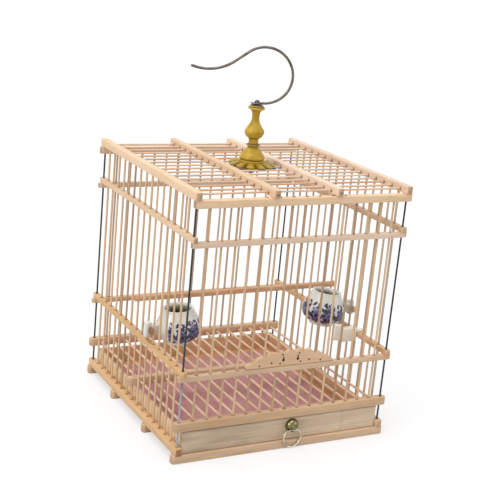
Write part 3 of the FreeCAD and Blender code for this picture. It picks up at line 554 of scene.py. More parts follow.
def worn(tree, sockets, clean, tarnish, rough_low, rough_gain):
    """Tarnish and scratches on a metal's roughness and height; its colour is given back."""
    made = use_group(tree, WORN_METAL, {
        "Place": own_place(tree), "Clean": colour(*clean), "Tarnish": colour(*tarnish)})
    send(made["Shade"] * rough_gain + rough_low, sockets["Roughness"])
    bump(sockets, made["Height"], 0.06, 0.05 * MM)
    return made["Colour"]


def metal(name, clean, tarnish, rough_low, rough_gain):
    """Bare metal with cloudy tarnish."""
    material, tree, sockets = start_material(name, {"Metallic": 1.0})
    send(worn(tree, sockets, clean, tarnish, rough_low, rough_gain), sockets["Base Color"])
    return material


def blued_wire():
    """Dark blued wire; the one at the front left gets a painted highlight, pale near the ground."""
    material, tree, sockets = start_material("blued_wire", {"Metallic": 0.2, "Specular IOR Level": 0.5})
    body = worn(tree, sockets, (44, 50, 54), (24, 27, 28), 0.3, 0.2)
    across, back, up = own_place(tree).parts()
    front_left = across.maths("MAXIMUM", back).maths("LESS_THAN", 0.0)
    # Painted highlight: the front left wire is pale near the ground.
    wire_highlight = up.step(70 * MM, 95 * MM).rest() * front_left * 0.5
    send(blend(wire_highlight, body, colour(216, 224, 232)), sockets["Base Color"])
    return material


def ochre_lacquer():
    """Ochre lacquer over turned wood: painted shade in the hollows, a dark cap, painted highlights on the
    edges, a soft gloss.
    """
    material, tree, sockets = start_material(
        "ochre_lacquer", {"Coat Roughness": 0.25, "Specular IOR Level": 0.3})
    place = own_place(tree)
    drift = place.cloud(120.0, 4.0).step(0.35, 0.7)
    grain = place.stretched(900, 900, 90).cloud(1.0)
    shade_and_dark_cap, painted_highlight = attribute(tree, "shade_and_dark_cap"), attribute(tree, "painted_highlight")
    body = blend(drift, colour(202, 168, 46), colour(180, 144, 36))
    body = blend(grain.step(0.5, 0.75) * 0.35, body, colour(144, 110, 34))
    # Painted shade in the hollows and creases, and the dark top of the cap.
    body = blend(shade_and_dark_cap * 0.9, body, colour(64, 44, 14))
    # Painted highlight on the edges.
    send(blend(painted_highlight * 0.55, body, colour(216, 190, 84)), sockets["Base Color"])
    send(drift * 0.18 + 0.36, sockets["Roughness"])
    send(shade_and_dark_cap * -0.15 + 0.2, sockets["Coat Weight"])
    bump(sockets, grain, 0.15, 0.1 * MM)
    return material


BELLY_ROUND = 22.5 * MM
# Each bouquet on the cups has a washed bed (height, half width, half height), blossoms (across, height, size,
# petals) and leaves (across, height, length, width, angle), in millimetres and degrees.
FULL_BOUQUET = (
    (15.0, 8.2, 9.8),
    ((0.2, 14.8, 8.6, 6.0), (-1.0, 23.6, 4.8, 5.0), (0.8, 6.4, 4.0, 5.0)),
    ((-4.6, 27.0, 3.4, 1.8, 40), (4.0, 27.2, 3.2, 1.7, -34), (5.2, 22.6, 3.4, 1.9, 62),
     (-6.2, 20.8, 3.4, 1.9, -58), (-5.2, 7.0, 3.4, 2.0, -28), (5.8, 7.4, 3.4, 2.0, 30)))
SLIM_BOUQUET = (
    (14.0, 5.8, 9.0),
    ((0.3, 18.6, 6.2, 5.0), (-0.3, 9.4, 5.6, 5.0)),
    ((-4.8, 13.4, 3.8, 2.2, 62), (5.0, 13.2, 3.8, 2.2, -60), (-3.0, 25.8, 3.4, 1.9, 44),
     (2.8, 25.4, 3.2, 1.8, -48), (0.2, 5.2, 2.8, 1.4, 6)))
BOUQUETS = 5


def painted_porcelain():
    """White glaze with a cobalt pattern on the belly: full and slim bouquets in turn, no borders."""
    material, tree, sockets = start_material(
        "painted_porcelain", {"Coat Weight": 0.5, "Coat Roughness": 0.08})
    clay = attribute(tree, "clay", "Vector")
    stray = signal(
        tree, "ShaderNodeTexNoise", {"Vector": clay, "Scale": 150.0, "Detail": 1.0}, "Color").parts()
    ahead, aside, height = clay.parts()
    turn = aside.maths("ARCTAN2", ahead)
    around = (stray[X] - 0.5) * 2.4 + turn * (BELLY_ROUND / MM)
    up = (stray[Y] - 0.5) * 2.4 + height * (1 / MM)
    half_step = math.pi * BELLY_ROUND / MM / BOUQUETS
    slim = around.maths("WRAP", half_step, -half_step)
    full = (around + half_step).maths("WRAP", half_step, -half_step)
    inks = []
    for cell, (bed, blossoms, leaves) in ((full, FULL_BOUQUET), (slim, SLIM_BOUQUET)):
        level, half_wide, half_high = bed
        away = (cell / half_wide) ** 2 + ((up - level) / half_high) ** 2
        inks.append(away.step(0.7, 1.0).rest() * 0.36)
        for across, level, size, petals in blossoms:
            inks.append(use_group(tree, BLOSSOM, {
                "Across": cell - across, "Up": up - level, "Size": size, "Petals": petals})["Ink"])
        for across, level, length, width, angle in leaves:
            inks.append(use_group(tree, LEAF, {
                "Across": cell - across, "Up": up - level, "Length": length, "Width": width,
                "Turn": math.radians(angle)})["Ink"])
    ink = inks[0]
    for more in inks[1:]:
        ink = ink.maths("MAXIMUM", more)
    wash = clay.cloud(900.0)
    off_the_lug = abs(turn).step(0.62, 0.74)
    painted = ink * (wash.step(0.25, 0.6) * 0.4 + 0.6) * off_the_lug * attribute(tree, "painted")
    glaze = blend(clay.cloud(70.0, 2.0).step(0.3, 0.7), colour(226, 225, 218), colour(210, 211, 204))
    # Painted shade inside the well.
    glaze = blend(attribute(tree, "well_shade"), glaze, colour(150, 146, 126))
    cobalt = blend(painted.step(0.3, 0.75), colour(88, 82, 154), colour(26, 18, 64))
    send(blend(painted.step(0.08, 0.42), glaze, cobalt), sockets["Base Color"])
    send(wash * 0.08 + 0.14, sockets["Roughness"])
    bump(sockets, wash, 0.04, 0.1 * MM)
    return material


# Pieces of bamboo

def box_between(name, low, high):
    """A block that fills the room between two corners."""
    clear_selection()
    bpy.ops.mesh.primitive_cube_add(size=1, location=(low + high) / 2)
    piece = added(name)
    piece.scale = high - low
    settle(piece)
    return piece


def mark_grain(piece, along, bores=None, tint=None):
    """Keep on a piece which way its fibres run, where its bores are, and its tint, given or drawn."""
    beside = [axis for axis in (X, Y, Z) if axis != along]
    shift = any_vector(5)
    lie = Vector([float(axis == along) for axis in (X, Y, Z)])
    drawn = chance.random()
    shade = drawn if tint is None else tint
    add_vectors(piece, "grain", lambda at: Vector((at[along], at[beside[0]], at[beside[1]])) + shift)
    add_vectors(piece, "lie", lambda at: lie)
    add_vectors(piece, "bores", bores or (lambda at: Vector((at[along], FAR, FAR))))
    add_numbers(piece, "tint", lambda at: shade)


def planed_bar(name, low, high, end_round=3.0 * MM, edge=0.6 * MM, cuts=24, drift=0.14 * MM):
    """A planed bar: long edges divided, its ends rounded in plan, every edge eased, slightly uneven."""
    room_to_drift = Vector((0.9 * drift,) * 3)
    low, high = low + room_to_drift, high - room_to_drift
    piece = box_between(name, low, high)
    size = high - low
    along = max((X, Y), key=lambda axis: size[axis])

    def runs(part, axis):
        line = part.verts[1].co - part.verts[0].co
        return abs(line[axis]) > 0.99 * line.length

    pick(piece, "EDGE", lambda part: runs(part, along))
    bpy.ops.mesh.subdivide(number_cuts=cuts)
    if end_round:
        ends = (low[along], high[along])
        pick(piece, "EDGE", lambda part: runs(part, Z) and min(
            abs(part.verts[0].co[along] - end) for end in ends) < 0.1 * MM)
        bpy.ops.mesh.bevel(offset=end_round, segments=4, affect="EDGES")
    soften(piece, edge)
    sway(piece, drift)
    return piece, along


def put_on(piece, body, slot, material, *nodes, smooth=40):
    """Give a piece its material and shading, and let it ride on its body in the place of its solids."""
    piece.data.materials.clear()
    piece.data.materials.append(material)
    only(piece)
    bpy.ops.object.shade_smooth_by_angle(angle=math.radians(smooth))
    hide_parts(*nodes)
    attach(piece, body)


def row(count):
    """The places of a row of splints, one pitch apart, about the middle."""
    return [(index - (count - 1) / 2) * PITCH for index in range(count)]


def mid_level(node):
    """The height of a node's middle."""
    low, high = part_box(node)
    return (low.z + high.z) / 2


FLOOR_LEVEL = mid_level("floor_splints")
TOP_LEVEL = mid_level("top_splints")
DOOR_HALF = 3.5 * PITCH
SIDES = ("front", "back", "left", "right")
FLOOR_RAILS = [f"floor_{place}_rail" for place in ("front", "middle", "back")]
TOP_RAILS = [f"top_{place}_rail" for place in ("left", "inner_left", "inner_right", "right")]
PEACH_RAILS = ["top_front_rail", "top_back_rail", "upper_hoop_front", "upper_hoop_back", "upper_hoop_left"]
TAN_RAILS = FLOOR_RAILS + [f"lower_hoop_{side}" for side in SIDES] + ["base_right_rail", "upper_hoop_right"]
TAN_RAILS += [f"base_{place}_rail" for place in ("front", "mid_front", "mid_back", "back")]
KNOTTED_RAILS = ["base_left_rail"]
# The faces on which upright splints leave a darker ring, and the levels of the bores for level splints.
BORED = {f"{hoop}_hoop_{side}": ("top", "under") for hoop in ("lower", "upper") for side in SIDES}
BORED |= {f"base_{side}_rail": ("top",) for side in SIDES[1:]}
BORED |= {f"top_{side}_rail": ("under",) for side in SIDES[1:]}
BORED |= {"floor_front_rail": ("top",)}
BORED |= dict.fromkeys(("floor_back_rail", "top_front_rail"), ("top", "under"))
LEVEL_BORED = dict.fromkeys(FLOOR_RAILS, FLOOR_LEVEL) | dict.fromkeys(TOP_RAILS, TOP_LEVEL)
# Two front strips are sawn off closer to the corner wire at their left end.
SHORT_LEFT_ENDS = {"top_front_rail": 3.5 * MM, "upper_hoop_front": 3.5 * MM}
RAIL_TINTS = {
    "base_front_rail": 0.7, "top_left_rail": 0.66, "top_right_rail": 0.3, "upper_hoop_front": 0.56,
    "upper_hoop_left": 0.38}
# Painted shade: the front rails are a little darker towards the left.
LEFT_SHADED_RAILS = {"base_front_rail", "floor_front_rail", "lower_hoop_front"}
SHADE_START, SHADE_MOST = 20 * MM, 0.12


def left_shade(at):
    """How much painted shade a front rail has at a place."""
    return min(SHADE_MOST, max(0.0, (SHADE_START - at.x) / HALF * SHADE_MOST))


def make_rail(node, material):
    """One rail or hoop strip, planed, bored and laid in its place."""
    low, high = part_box(node)
    sawn_off = Vector((SHORT_LEFT_ENDS.get(node, 0.0), 0.0, 0.0))
    piece, along = planed_bar(f"planed_{node}", low + sawn_off, high)
    across = X if along == Y else Y
    middle = (low + high) / 2
    line = math.copysign(HALF, middle[across])
    level = LEVEL_BORED.get(node)
    through = abs(middle[across]) < HALF / 2

    def shown(at):
        face = "top" if at.z > middle.z else "under"
        if node == "lower_hoop_front" and face == "top":
            return abs(at.x) > DOOR_HALF
        if node == "top_front_rail" and face == "top":
            return abs(at.x) < DOOR_HALF
        return face in BORED.get(node, ())

    def bores(at):
        inner = through or abs(at[across]) < abs(middle[across])
        return Vector((at[along], at[across] - line if shown(at) else FAR,
                       at.z - level if level and inner else FAR))

    mark_grain(piece, along, bores, RAIL_TINTS.get(node))
    if node in LEFT_SHADED_RAILS:
        add_numbers(piece, "shade_and_stain", left_shade)
    put_on(piece, "cage", "bamboo_rail", material, node)


def make_rails():
    """Every rail and hoop strip, in its own kind of bamboo."""
    peach = ((240, 211, 181), (222, 186, 152))
    kinds = (
        (PEACH_RAILS, rail_bamboo("rail_bamboo_peach", *peach, ends=((172, 132, 100), (112, 74, 50)),
                                  end_share=0.8)),
        (TOP_RAILS, rail_bamboo("rail_bamboo_top", *peach, ends=((188, 156, 128), (132, 100, 76)),
                                end_share=0.8, ring_dark=0.9)),
        (TAN_RAILS, rail_bamboo("rail_bamboo_tan", (230, 194, 153), (204, 164, 123), ring_dark=0.8)),
        (KNOTTED_RAILS, rail_bamboo("rail_bamboo_knotted", (228, 190, 145), (200, 157, 112),
                                    ends=((158, 114, 76), (96, 62, 38)), end_share=0.9)))
    for nodes, material in kinds:
        for node in sorted(nodes):
            make_rail(node, material)


# How dark a splint is at these distances from a rail that it enters.
ENTRY_SHADES = ((0.0, 1.0), (1.0 * MM, 0.6), (3.2 * MM, 0.0))
SPLINT_STEP = 28 * MM
STEP_CLEARANCE = 4 * MM
# How far splints bow (in millimetres), how much their thickness swells and how quickly, and their tints.
BOW, SWELL, SWELL_PACE = 0.12, 0.07, 22
TINT_MIDDLE, TINT_SPREAD = 0.52, 0.27


def splint_levels(start, stop, along, rails):
    """Where a splint is divided, and how dark it is there."""
    entry = {start: 0.0, stop: 0.0}
    for rail in rails:
        low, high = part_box(rail)
        for face, outward in ((low[along], -1), (high[along], 1)):
            for away, dark in ENTRY_SHADES:
                level = face + outward * away
                if start < level < stop:
                    entry[level] = dark
    steps = max(2, round((stop - start) / SPLINT_STEP))
    for step in range(1, steps):
        level = start + (stop - start) * step / steps
        if min(abs(level - other) for other in entry) > STEP_CLEARANCE:
            entry[level] = 0.0
    return entry


def splint_row(node, body, along, lines, rails, material, full=0.92):
    """A splint drawn through its rails and copied along a row, each copy bowed and tinted its own way."""
    low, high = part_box(node)
    start, stop = low[along], high[along]
    entry = splint_levels(start, stop, along, rails)
    levels = sorted(entry)
    clear_selection()
    bpy.ops.mesh.primitive_circle_add(vertices=10, radius=SPLINT_RADIUS, fill_type="NGON",
                                      location=(0, 0, levels[0]))
    splint = added("splint")
    settle(splint)
    edit(splint, "FACE")
    for before, level in zip(levels, levels[1:]):
        bpy.ops.mesh.extrude_region_move(TRANSFORM_OT_translate={"value": (0, 0, level - before)})
    face_outwards(splint)
    add_numbers(splint, "entry", lambda at: entry[min(levels, key=lambda level: abs(level - at.z))])
    lay = {X: Matrix(((0, 0, 1), (0, 1, 0), (-1, 0, 0))), Y: Matrix(((1, 0, 0), (0, 0, 1), (0, -1, 0))),
           Z: Matrix.Identity(3)}[along]
    copies = []
    for line in lines:
        copy = copied(splint)
        seed = any_vector(9)
        bow = Vector((chance.gauss(0, BOW), chance.gauss(0, BOW), 0)) * MM
        broad = min(1.05, chance.gauss(full, 0.06))
        thin = min(1.0, chance.gauss(full - 0.04, 0.05))
        turn = Matrix.Rotation(chance.uniform(0, math.pi), 3, "Z")
        tint = min(1.0, max(0.0, chance.gauss(TINT_MIDDLE, TINT_SPREAD)))
        add_vectors(copy, "grain", lambda at: Vector((at.z, at.x, at.y)) + seed)
        add_numbers(copy, "tint", lambda at: tint)
        for point in copy.data.vertices:
            at = point.co
            swell = 1 + SWELL * noise.noise(Vector((at.z * SWELL_PACE, 0, 0)) + seed)
            share = (at.z - start) / (stop - start)
            section = turn @ Vector((at.x * broad * swell, at.y * thin * swell, 0))
            bent = section + bow * math.sin(math.pi * share)
            point.co = lay @ Vector((bent.x, bent.y, at.z)) + line
        copies.append(copy)
    bpy.data.objects.remove(splint)
    put_on(joined(f"drawn_{node}", copies), body, "bamboo_splint", material, node, smooth=50)


def make_splints():
    """All the rows of splints."""
    bamboo = splint_bamboo("splint_bamboo", [
        (0.0, (194, 162, 128)), (0.22, (221, 187, 148)), (0.5, (237, 205, 166)), (0.74, (232, 198, 158)),
        (0.9, (213, 178, 140)), (1.0, (186, 154, 122))])
    # Painted light: the right and back splints, in the shade of the cage, are lighter and greyer than the front
    # and left ones.
    grey = splint_bamboo("shade_lifted_splint_bamboo", [
        (0.0, (202, 184, 166)), (0.3, (218, 198, 176)), (0.6, (234, 212, 186)), (0.85, (220, 194, 164)),
        (1.0, (198, 178, 160))])
    pale = splint_bamboo("pale_splint_bamboo", [
        (0.0, (230, 190, 156)), (0.3, (243, 211, 181)), (0.7, (247, 219, 191)), (1.0, (234, 198, 164))])
    for side, sign, stuff in (("left", -1, bamboo), ("right", 1, grey)):
        rails = [f"base_{side}_rail", f"lower_hoop_{side}", f"upper_hoop_{side}", f"top_{side}_rail"]
        lines = [Vector((sign * HALF, y, 0)) for y in row(15)]
        splint_row(f"{side}_splints", "cage", Z, lines, rails, stuff)
    rails = ["base_back_rail", "floor_back_rail", "lower_hoop_back", "upper_hoop_back", "top_back_rail"]
    splint_row("back_splints", "cage", Z, [Vector((x, HALF, 0)) for x in row(15)], rails, grey)
    rails = ["floor_front_rail", "lower_hoop_front", "upper_hoop_front", "top_front_rail"]
    front = [Vector((x, -HALF, 0)) for x in row(15)]
    beside = [line for line in front if abs(line.x) > DOOR_HALF]
    door = [line for line in front if abs(line.x) < DOOR_HALF]
    splint_row("front_splints", "cage", Z, beside, rails, bamboo)
    splint_row("front_short_splints", "cage", Z, door, rails[:2], bamboo)
    splint_row("door_splints", "door", Z, door, rails[2:], bamboo)
    lines = [Vector((x, 0, FLOOR_LEVEL)) for x in row(16)]
    splint_row("floor_splints", "cage", Y, lines, FLOOR_RAILS, pale, full=1.0)
    lines = [Vector((0, y, TOP_LEVEL)) for y in row(16)]
    splint_row("top_splints", "cage", X, lines, TOP_RAILS, pale, full=0.86)


def sawn(name, outline, depth):
    """A flat outline, in the XY plane, sawn out of a board of that depth."""
    clear_selection()
    bpy.ops.mesh.primitive_circle_add(vertices=len(outline), radius=1, fill_type="NGON")
    piece = added(name)
    for point, place in zip(piece.data.vertices, outline):
        point.co = (place[0], place[1], 0)
    edit(piece, "FACE")
    bpy.ops.mesh.extrude_region_move(TRANSFORM_OT_translate={"value": (0, 0, depth)})
    face_outwards(piece)
    return piece


# The right half of the door board's top line, and its pierced dots (across, height, width in millimetres).
SCROLLS = [((0.982, 0.17), (0.90, 0.36), (0.80, 0.42)), ((0.80, 0.42), (0.70, 0.66), (0.56, 0.64)),
           ((0.56, 0.64), (0.46, 0.90), (0.32, 0.82)), ((0.32, 0.82), (0.22, 0.98), (0.11, 0.86)),
           ((0.11, 0.86), (0.05, 0.97), (0.0, 1.0))]
DOTS = ((0.165, 0.40, 3.2), (0.19, 0.76, 1.9), (0.235, 0.20, 1.9), (0.43, 0.28, 2.0), (0.70, 0.17, 1.9))
KEYHOLE = (0.165, 0.42)


def make_door_board():
    """The carved door board: stepped scrolls, pierced dots and keyholes with painted shade inside, painted
    shadow at the foot.
    """
    low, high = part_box("door_board")
    half, rise, middle = high.x, high.z - low.z, (low.y + high.y) / 2
    through, slit, slit_high, foot_shadow_high = 6 * MM, 0.65 * MM, 4 * MM, 1.1 * MM
    right = [(1.0, 0.0)]
    for scroll in SCROLLS:
        line = eased(scroll)
        right += line if scroll is SCROLLS[0] else line[1:]
    outline = [(x * half, z * rise) for x, z in right]
    outline += [(-x, z) for x, z in reversed(outline[:-1])]
    piece = sawn("carved_door_board", outline, high.y - low.y)
    set_down(piece, (0, high.y, low.z), (QUARTER, 0, 0))
    pick(piece, "FACE", lambda part: abs(part.normal.y) > 0.9)
    for width in (0.5 * MM, 0.7 * MM):
        bpy.ops.mesh.inset(thickness=width, depth=0.0)
    object_mode()
    drills, eyes = [], []
    for across, up, wide in DOTS:
        for side in (-1, 1):
            place = Vector((side * across * half, middle, low.z + up * rise))
            clear_selection()
            bpy.ops.mesh.primitive_cylinder_add(vertices=16, radius=wide * MM / 2, depth=2 * through,
                                                rotation=(QUARTER, 0, 0), location=place)
            drills.append(added("drill"))
            eyes.append((place.xz, wide * MM / 2 + 0.2 * MM))
    across, up = KEYHOLE
    for side in (-1, 1):
        foot = Vector((side * across * half, middle, low.z + up * rise))
        drills.append(box_between(
            "drill", foot + Vector((-slit, -through, 0)), foot + Vector((slit, through, slit_high))))
        eyes.append((Vector((foot.x, foot.z + slit_high / 2)), 2.4 * MM))
    for tool in drills:
        drill(piece, tool)
    mark_grain(piece, X)
    # Painted shadow along the foot of the board.
    add_numbers(piece, "shade_and_stain", lambda at: 0.7 * max(0.0, 1 - (at.z - low.z) / foot_shadow_high))
    # Painted shade on the walls of the pierced holes.
    hole_shade = piece.data.attributes.new("hole_shade", "FLOAT", "FACE")
    for face, cell in zip(piece.data.polygons, hole_shade.data):
        inside = abs(face.normal.y) < 0.2 and any(
            (face.center.xz - spot).length < reach for spot, reach in eyes)
        cell.value = 0.95 if inside else 0.0
    bamboo = rail_bamboo("door_bamboo", (228, 193, 158), (206, 167, 130), end_share=0.3)
    put_on(piece, "door", "bamboo_rail", bamboo, "door_board", smooth=35)


def make_perch():
    """The perch: a flat stick with a slot in each end, for the splint that it slides on."""
    low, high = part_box("perch")
    slot_half = 1.6 * MM
    slot_end = HALF - slot_half
    outline = [(high.x, low.y), (high.x, -slot_half), (slot_end, -slot_half), (slot_end, slot_half),
               (high.x, slot_half), (high.x, high.y)]
    outline += [(-x, -y) for x, y in outline]
    piece = sawn("slotted_perch", outline, high.z - low.z)
    set_down(piece, (0, 0, low.z))
    soften(piece, 0.45 * MM)
    mark_grain(piece, X)
    bamboo = rail_bamboo("perch_bamboo", (228, 180, 136), (196, 144, 98))
    put_on(piece, "perch_bar", "bamboo_rail", bamboo, "perch")


def front_shade_and_stain(at, top):
    """How dark the drawer's front is: painted shade towards its left in soft patches, faint patches, a darker
    node line, painted shadow at the top.
    """
    across, down = at.x / MM, (top - at.z) / MM
    patch_wide, patch_high, left_start, left_length = 34, 9, 60, 110
    node_place, node_half, rim_high = 72, 1.6, 2.2
    patch = 0.5 + noise.noise(Vector((across / patch_wide, down / patch_high, 4.0)))
    # Painted shade that grows towards the left.
    left = 0.24 * min(1.0, max(0.0, (left_start - across) / left_length))
    node_line = 0.12 * math.exp(-((across - node_place) / node_half) ** 2)
    # Painted shadow along the top, under the rail that overhangs it.
    rim = 0.75 * max(0.0, 1 - down / rim_high)
    return min(0.9, left * (0.5 + patch) + 0.05 * patch + node_line + rim)


def make_liner():
    """The paper in the drawer, slightly wavy."""
    low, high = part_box("drawer_liner")
    waves, swell, paper = 24, 0.25, 0.3 * MM
    clear_selection()
    bpy.ops.mesh.primitive_grid_add(x_subdivisions=60, y_subdivisions=60, size=1,
                                    location=((low.x + high.x) / 2, (low.y + high.y) / 2, low.z))
    piece = added("laid_liner")
    piece.scale = (high.x - low.x, high.y - low.y, 1)
    settle(piece)
    for point in piece.data.vertices:
        wave = noise.noise(Vector((point.co.x * waves, point.co.y * waves, 3)))
        point.co.z += (high.z - low.z) * (swell + swell * wave)
    apply_modifier(piece, "SOLIDIFY", thickness=paper, offset=1.0)
    put_on(piece, "drawer", "liner", liner_paper(), "drawer_liner")


def make_drawer():
    """The drawer: a front board, three walls and a bottom of paler bamboo, with a paper liner."""
    face = rail_bamboo("drawer_front_bamboo", (232, 210, 180), (206, 180, 148), contrast=0.9, spread=0.1,
                       end_share=0.1)
    side = rail_bamboo("drawer_side_bamboo", (230, 200, 162), (210, 176, 136), contrast=0.6, spread=0.1)
    wall = rail_bamboo("drawer_wall_bamboo", (232, 200, 162), (210, 172, 130), spread=0.2)
    stuff = {"drawer_front": face, "drawer_left_side": side, "drawer_right_side": wall, "drawer_back": wall,
             "drawer_bottom": wall}
    for node, bamboo in stuff.items():
        low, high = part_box(node)
        fine = node == "drawer_front"
        piece, along = planed_bar(f"planed_{node}", low, high, end_round=0.0, edge=0.5 * MM,
                                  cuts=150 if fine else 24, drift=0.1 * MM)
        mark_grain(piece, along)
        if fine:
            pick(piece, "EDGE", lambda part: abs(part.verts[0].co.z - part.verts[1].co.z) > 15 * MM)
            bpy.ops.mesh.subdivide(number_cuts=12)
            object_mode()
            add_numbers(piece, "shade_and_stain", lambda at: front_shade_and_stain(at, high.z))
        put_on(piece, "drawer", "drawer_bamboo", bamboo, node)
    make_liner()


# Turned and bent pieces

def turned(name, outline, sides=56):
    """A half outline of (radius, height) points, drawn point by point and spun about the Z axis."""
    clear_selection()
    bpy.ops.mesh.primitive_plane_add(size=MM)
    piece = added(name)
    edit(piece)
    bpy.ops.mesh.merge(type="CENTER")
    radius, height = outline[0]
    bpy.ops.transform.translate(value=(radius, 0, height))
    for next_radius, next_height in outline[1:]:
        bpy.ops.mesh.extrude_vertices_move(
            TRANSFORM_OT_translate={"value": (next_radius - radius, 0, next_height - height)})
        radius, height = next_radius, next_height
    bpy.ops.mesh.select_all(action="SELECT")
    bpy.ops.mesh.spin(steps=sides, angle=2 * math.pi, center=(0, 0, 0), axis=(0, 0, 1))
    close_up(piece)
    return piece


def in_mm(points):
    """Points given in millimetres, in metres."""
    return [(first * MM, second * MM) for first, second in points]


# The finial's hollows that get painted shade, and its edges that get a painted highlight (height, reach), in
# millimetres.
SHADED_HOLLOWS = [(2.0, 0.7), (16.6, 0.9), (18.8, 0.7), (25.2, 0.6), (58.4, 0.3)]
EDGE_HIGHLIGHTS = [(1.2, 0.7), (17.7, 0.7), (57.3, 0.8)]


def make_finial(lacquer):
    """The turned post: rim, bell, cove, ring, waist, pear bulb, neck, flange and cap."""
    outline = in_mm(
        [(0.0, 0.0), (13.2, 0.0), (13.4, 0.3), (13.4, 1.3), (12.9, 1.8), (11.2, 1.6), (11.1, 2.0)]
        + eased([(11.8, 2.2), (13.3, 3.2), (13.6, 4.5), (12.5, 7.2), (10.6, 9.9), (9.0, 12.6)], 4)
        + eased([(8.8, 12.7), (7.2, 13.9), (5.9, 15.4), (5.4, 16.9)], 4)
        + [(7.2, 17.0), (7.5, 17.3), (7.5, 18.1), (7.1, 18.5), (5.8, 18.5)]
        + eased([(5.7, 18.6), (5.2, 21.4), (5.5, 25.1)], 4)
        + eased([(6.1, 25.2), (8.9, 27.4), (10.6, 31.2), (10.3, 33.9), (8.5, 36.5), (5.9, 40.5), (4.4, 44.0),
                 (4.1, 47.0), (4.1, 50.0), (4.6, 52.8), (6.0, 54.9), (8.6, 56.3)], 4)
        + [(9.1, 56.4), (9.2, 56.9), (9.2, 57.7), (8.8, 58.2)]
        + [(7.6, 58.3), (7.6, 59.8), (7.0, 60.3), (0.0, 60.4)])
    piece = turned("turned_finial", outline)
    cap_top, rim_inside, neck_outside = 60.2 * MM, 12.4 * MM, 6.9 * MM

    def near(height, places):
        return max(math.exp(-((height / MM - place) / reach) ** 2) for place, reach in places)

    # Painted shade in the hollows inside the rim; the top of the cap is dark.
    def darkness(at):
        if at.z > cap_top:
            return 0.95
        return near(at.z, SHADED_HOLLOWS) if at.xy.length < rim_inside else 0.0

    add_numbers(piece, "shade_and_dark_cap", darkness)
    # Painted highlight on the rim, the ring and the flange.
    add_numbers(piece, "painted_highlight", lambda at: near(at.z, EDGE_HIGHLIGHTS) if at.xy.length > neck_outside else 0.0)
    set_down(piece, (0, 0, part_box("finial_post")[0].z))
    put_on(piece, "cage", "ochre_lacquer", lacquer, "finial_post", smooth=38)


def make_skirt(lacquer):
    """The skirt of twelve creased, pointed petals under the post."""
    low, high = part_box("petal_skirt")
    petals, per_petal = 12, 10
    root, notch, crown, droop, crease, edge = 0.5, 0.14, 0.95, 0.62, 0.30, 0.93
    reach, rise = high.x, high.z - low.z
    shares = (0.18, 0.36, 0.5, 0.6, 0.7, 0.8, 0.9, 1.0)
    clear_selection()
    bpy.ops.mesh.primitive_circle_add(vertices=petals * per_petal, radius=shares[0] * reach, fill_type="NGON")
    piece = added("petal_skirt_carved")
    edit(piece, "EDGE")
    for before, share in zip(shares, shares[1:]):
        bpy.ops.mesh.extrude_edges_move()
        grow = share / before
        bpy.ops.transform.resize(value=(grow, grow, 1), center_override=(0, 0, 0))
    object_mode()
    shade_and_dark_cap = piece.data.attributes.new("shade_and_dark_cap", "FLOAT", "POINT")
    grooves = []
    for point in piece.data.vertices:
        at = point.co.copy()
        turn = math.atan2(at.y, at.x) / (2 * math.pi) * petals
        # How far a point is from its petal's midline, and how far out it is past the petals' root.
        off = abs((turn + 0.5) % 1.0 - 0.5) * 2
        outer = max(0.0, (at.xy.length / reach - root) / (1 - root))
        shrink = 1 - notch * outer * off ** 3
        fall = rise * (crown - droop * outer ** 1.3)
        arch = math.sin(math.pi * min(1.0, outer * 0.85 + 0.1))
        ridge = crease * rise * arch * (1 - 2.2 * off ** 2.2)
        point.co = Vector((at.x * shrink, at.y * shrink, min(rise, fall + ridge * (outer > 0))))
        # Painted shade: the skirt a little darker all over, darkest in the gaps between the petals.
        grooves.append(min(1.0, 0.18 + 1.1 * off ** 2.4 * min(1.0, outer * 4)))
    shade_and_dark_cap.data.foreach_set("value", grooves)
    # Painted highlight on the petals' ridges, most at their outer ends.
    painted_highlight = piece.data.attributes.new("painted_highlight", "FLOAT", "POINT")
    for point, cell, groove in zip(piece.data.vertices, painted_highlight.data, grooves):
        share = 1.0 if point.co.xy.length > edge * reach else 0.25
        cell.value = 0.7 * max(0.0, 1 - groove * 3) * share
    face_outwards(piece)
    apply_modifier(piece, "SOLIDIFY", thickness=1.0 * MM, offset=-1.0)
    lowest = min(point.co.z for point in piece.data.vertices)
    set_down(piece, (0, 0, low.z - min(0.0, lowest)))
    put_on(piece, "cage", "ochre_lacquer", lacquer, "petal_skirt", smooth=45)


def draw_out(by):
    """Draw the chosen edges out by a vector."""
    bpy.ops.mesh.extrude_edges_move(TRANSFORM_OT_translate={"value": by})


def on_arc(middle, radius, angle):
    """A point of an upright circle."""
    return middle + Vector((radius * math.cos(angle), 0, radius * math.sin(angle)))


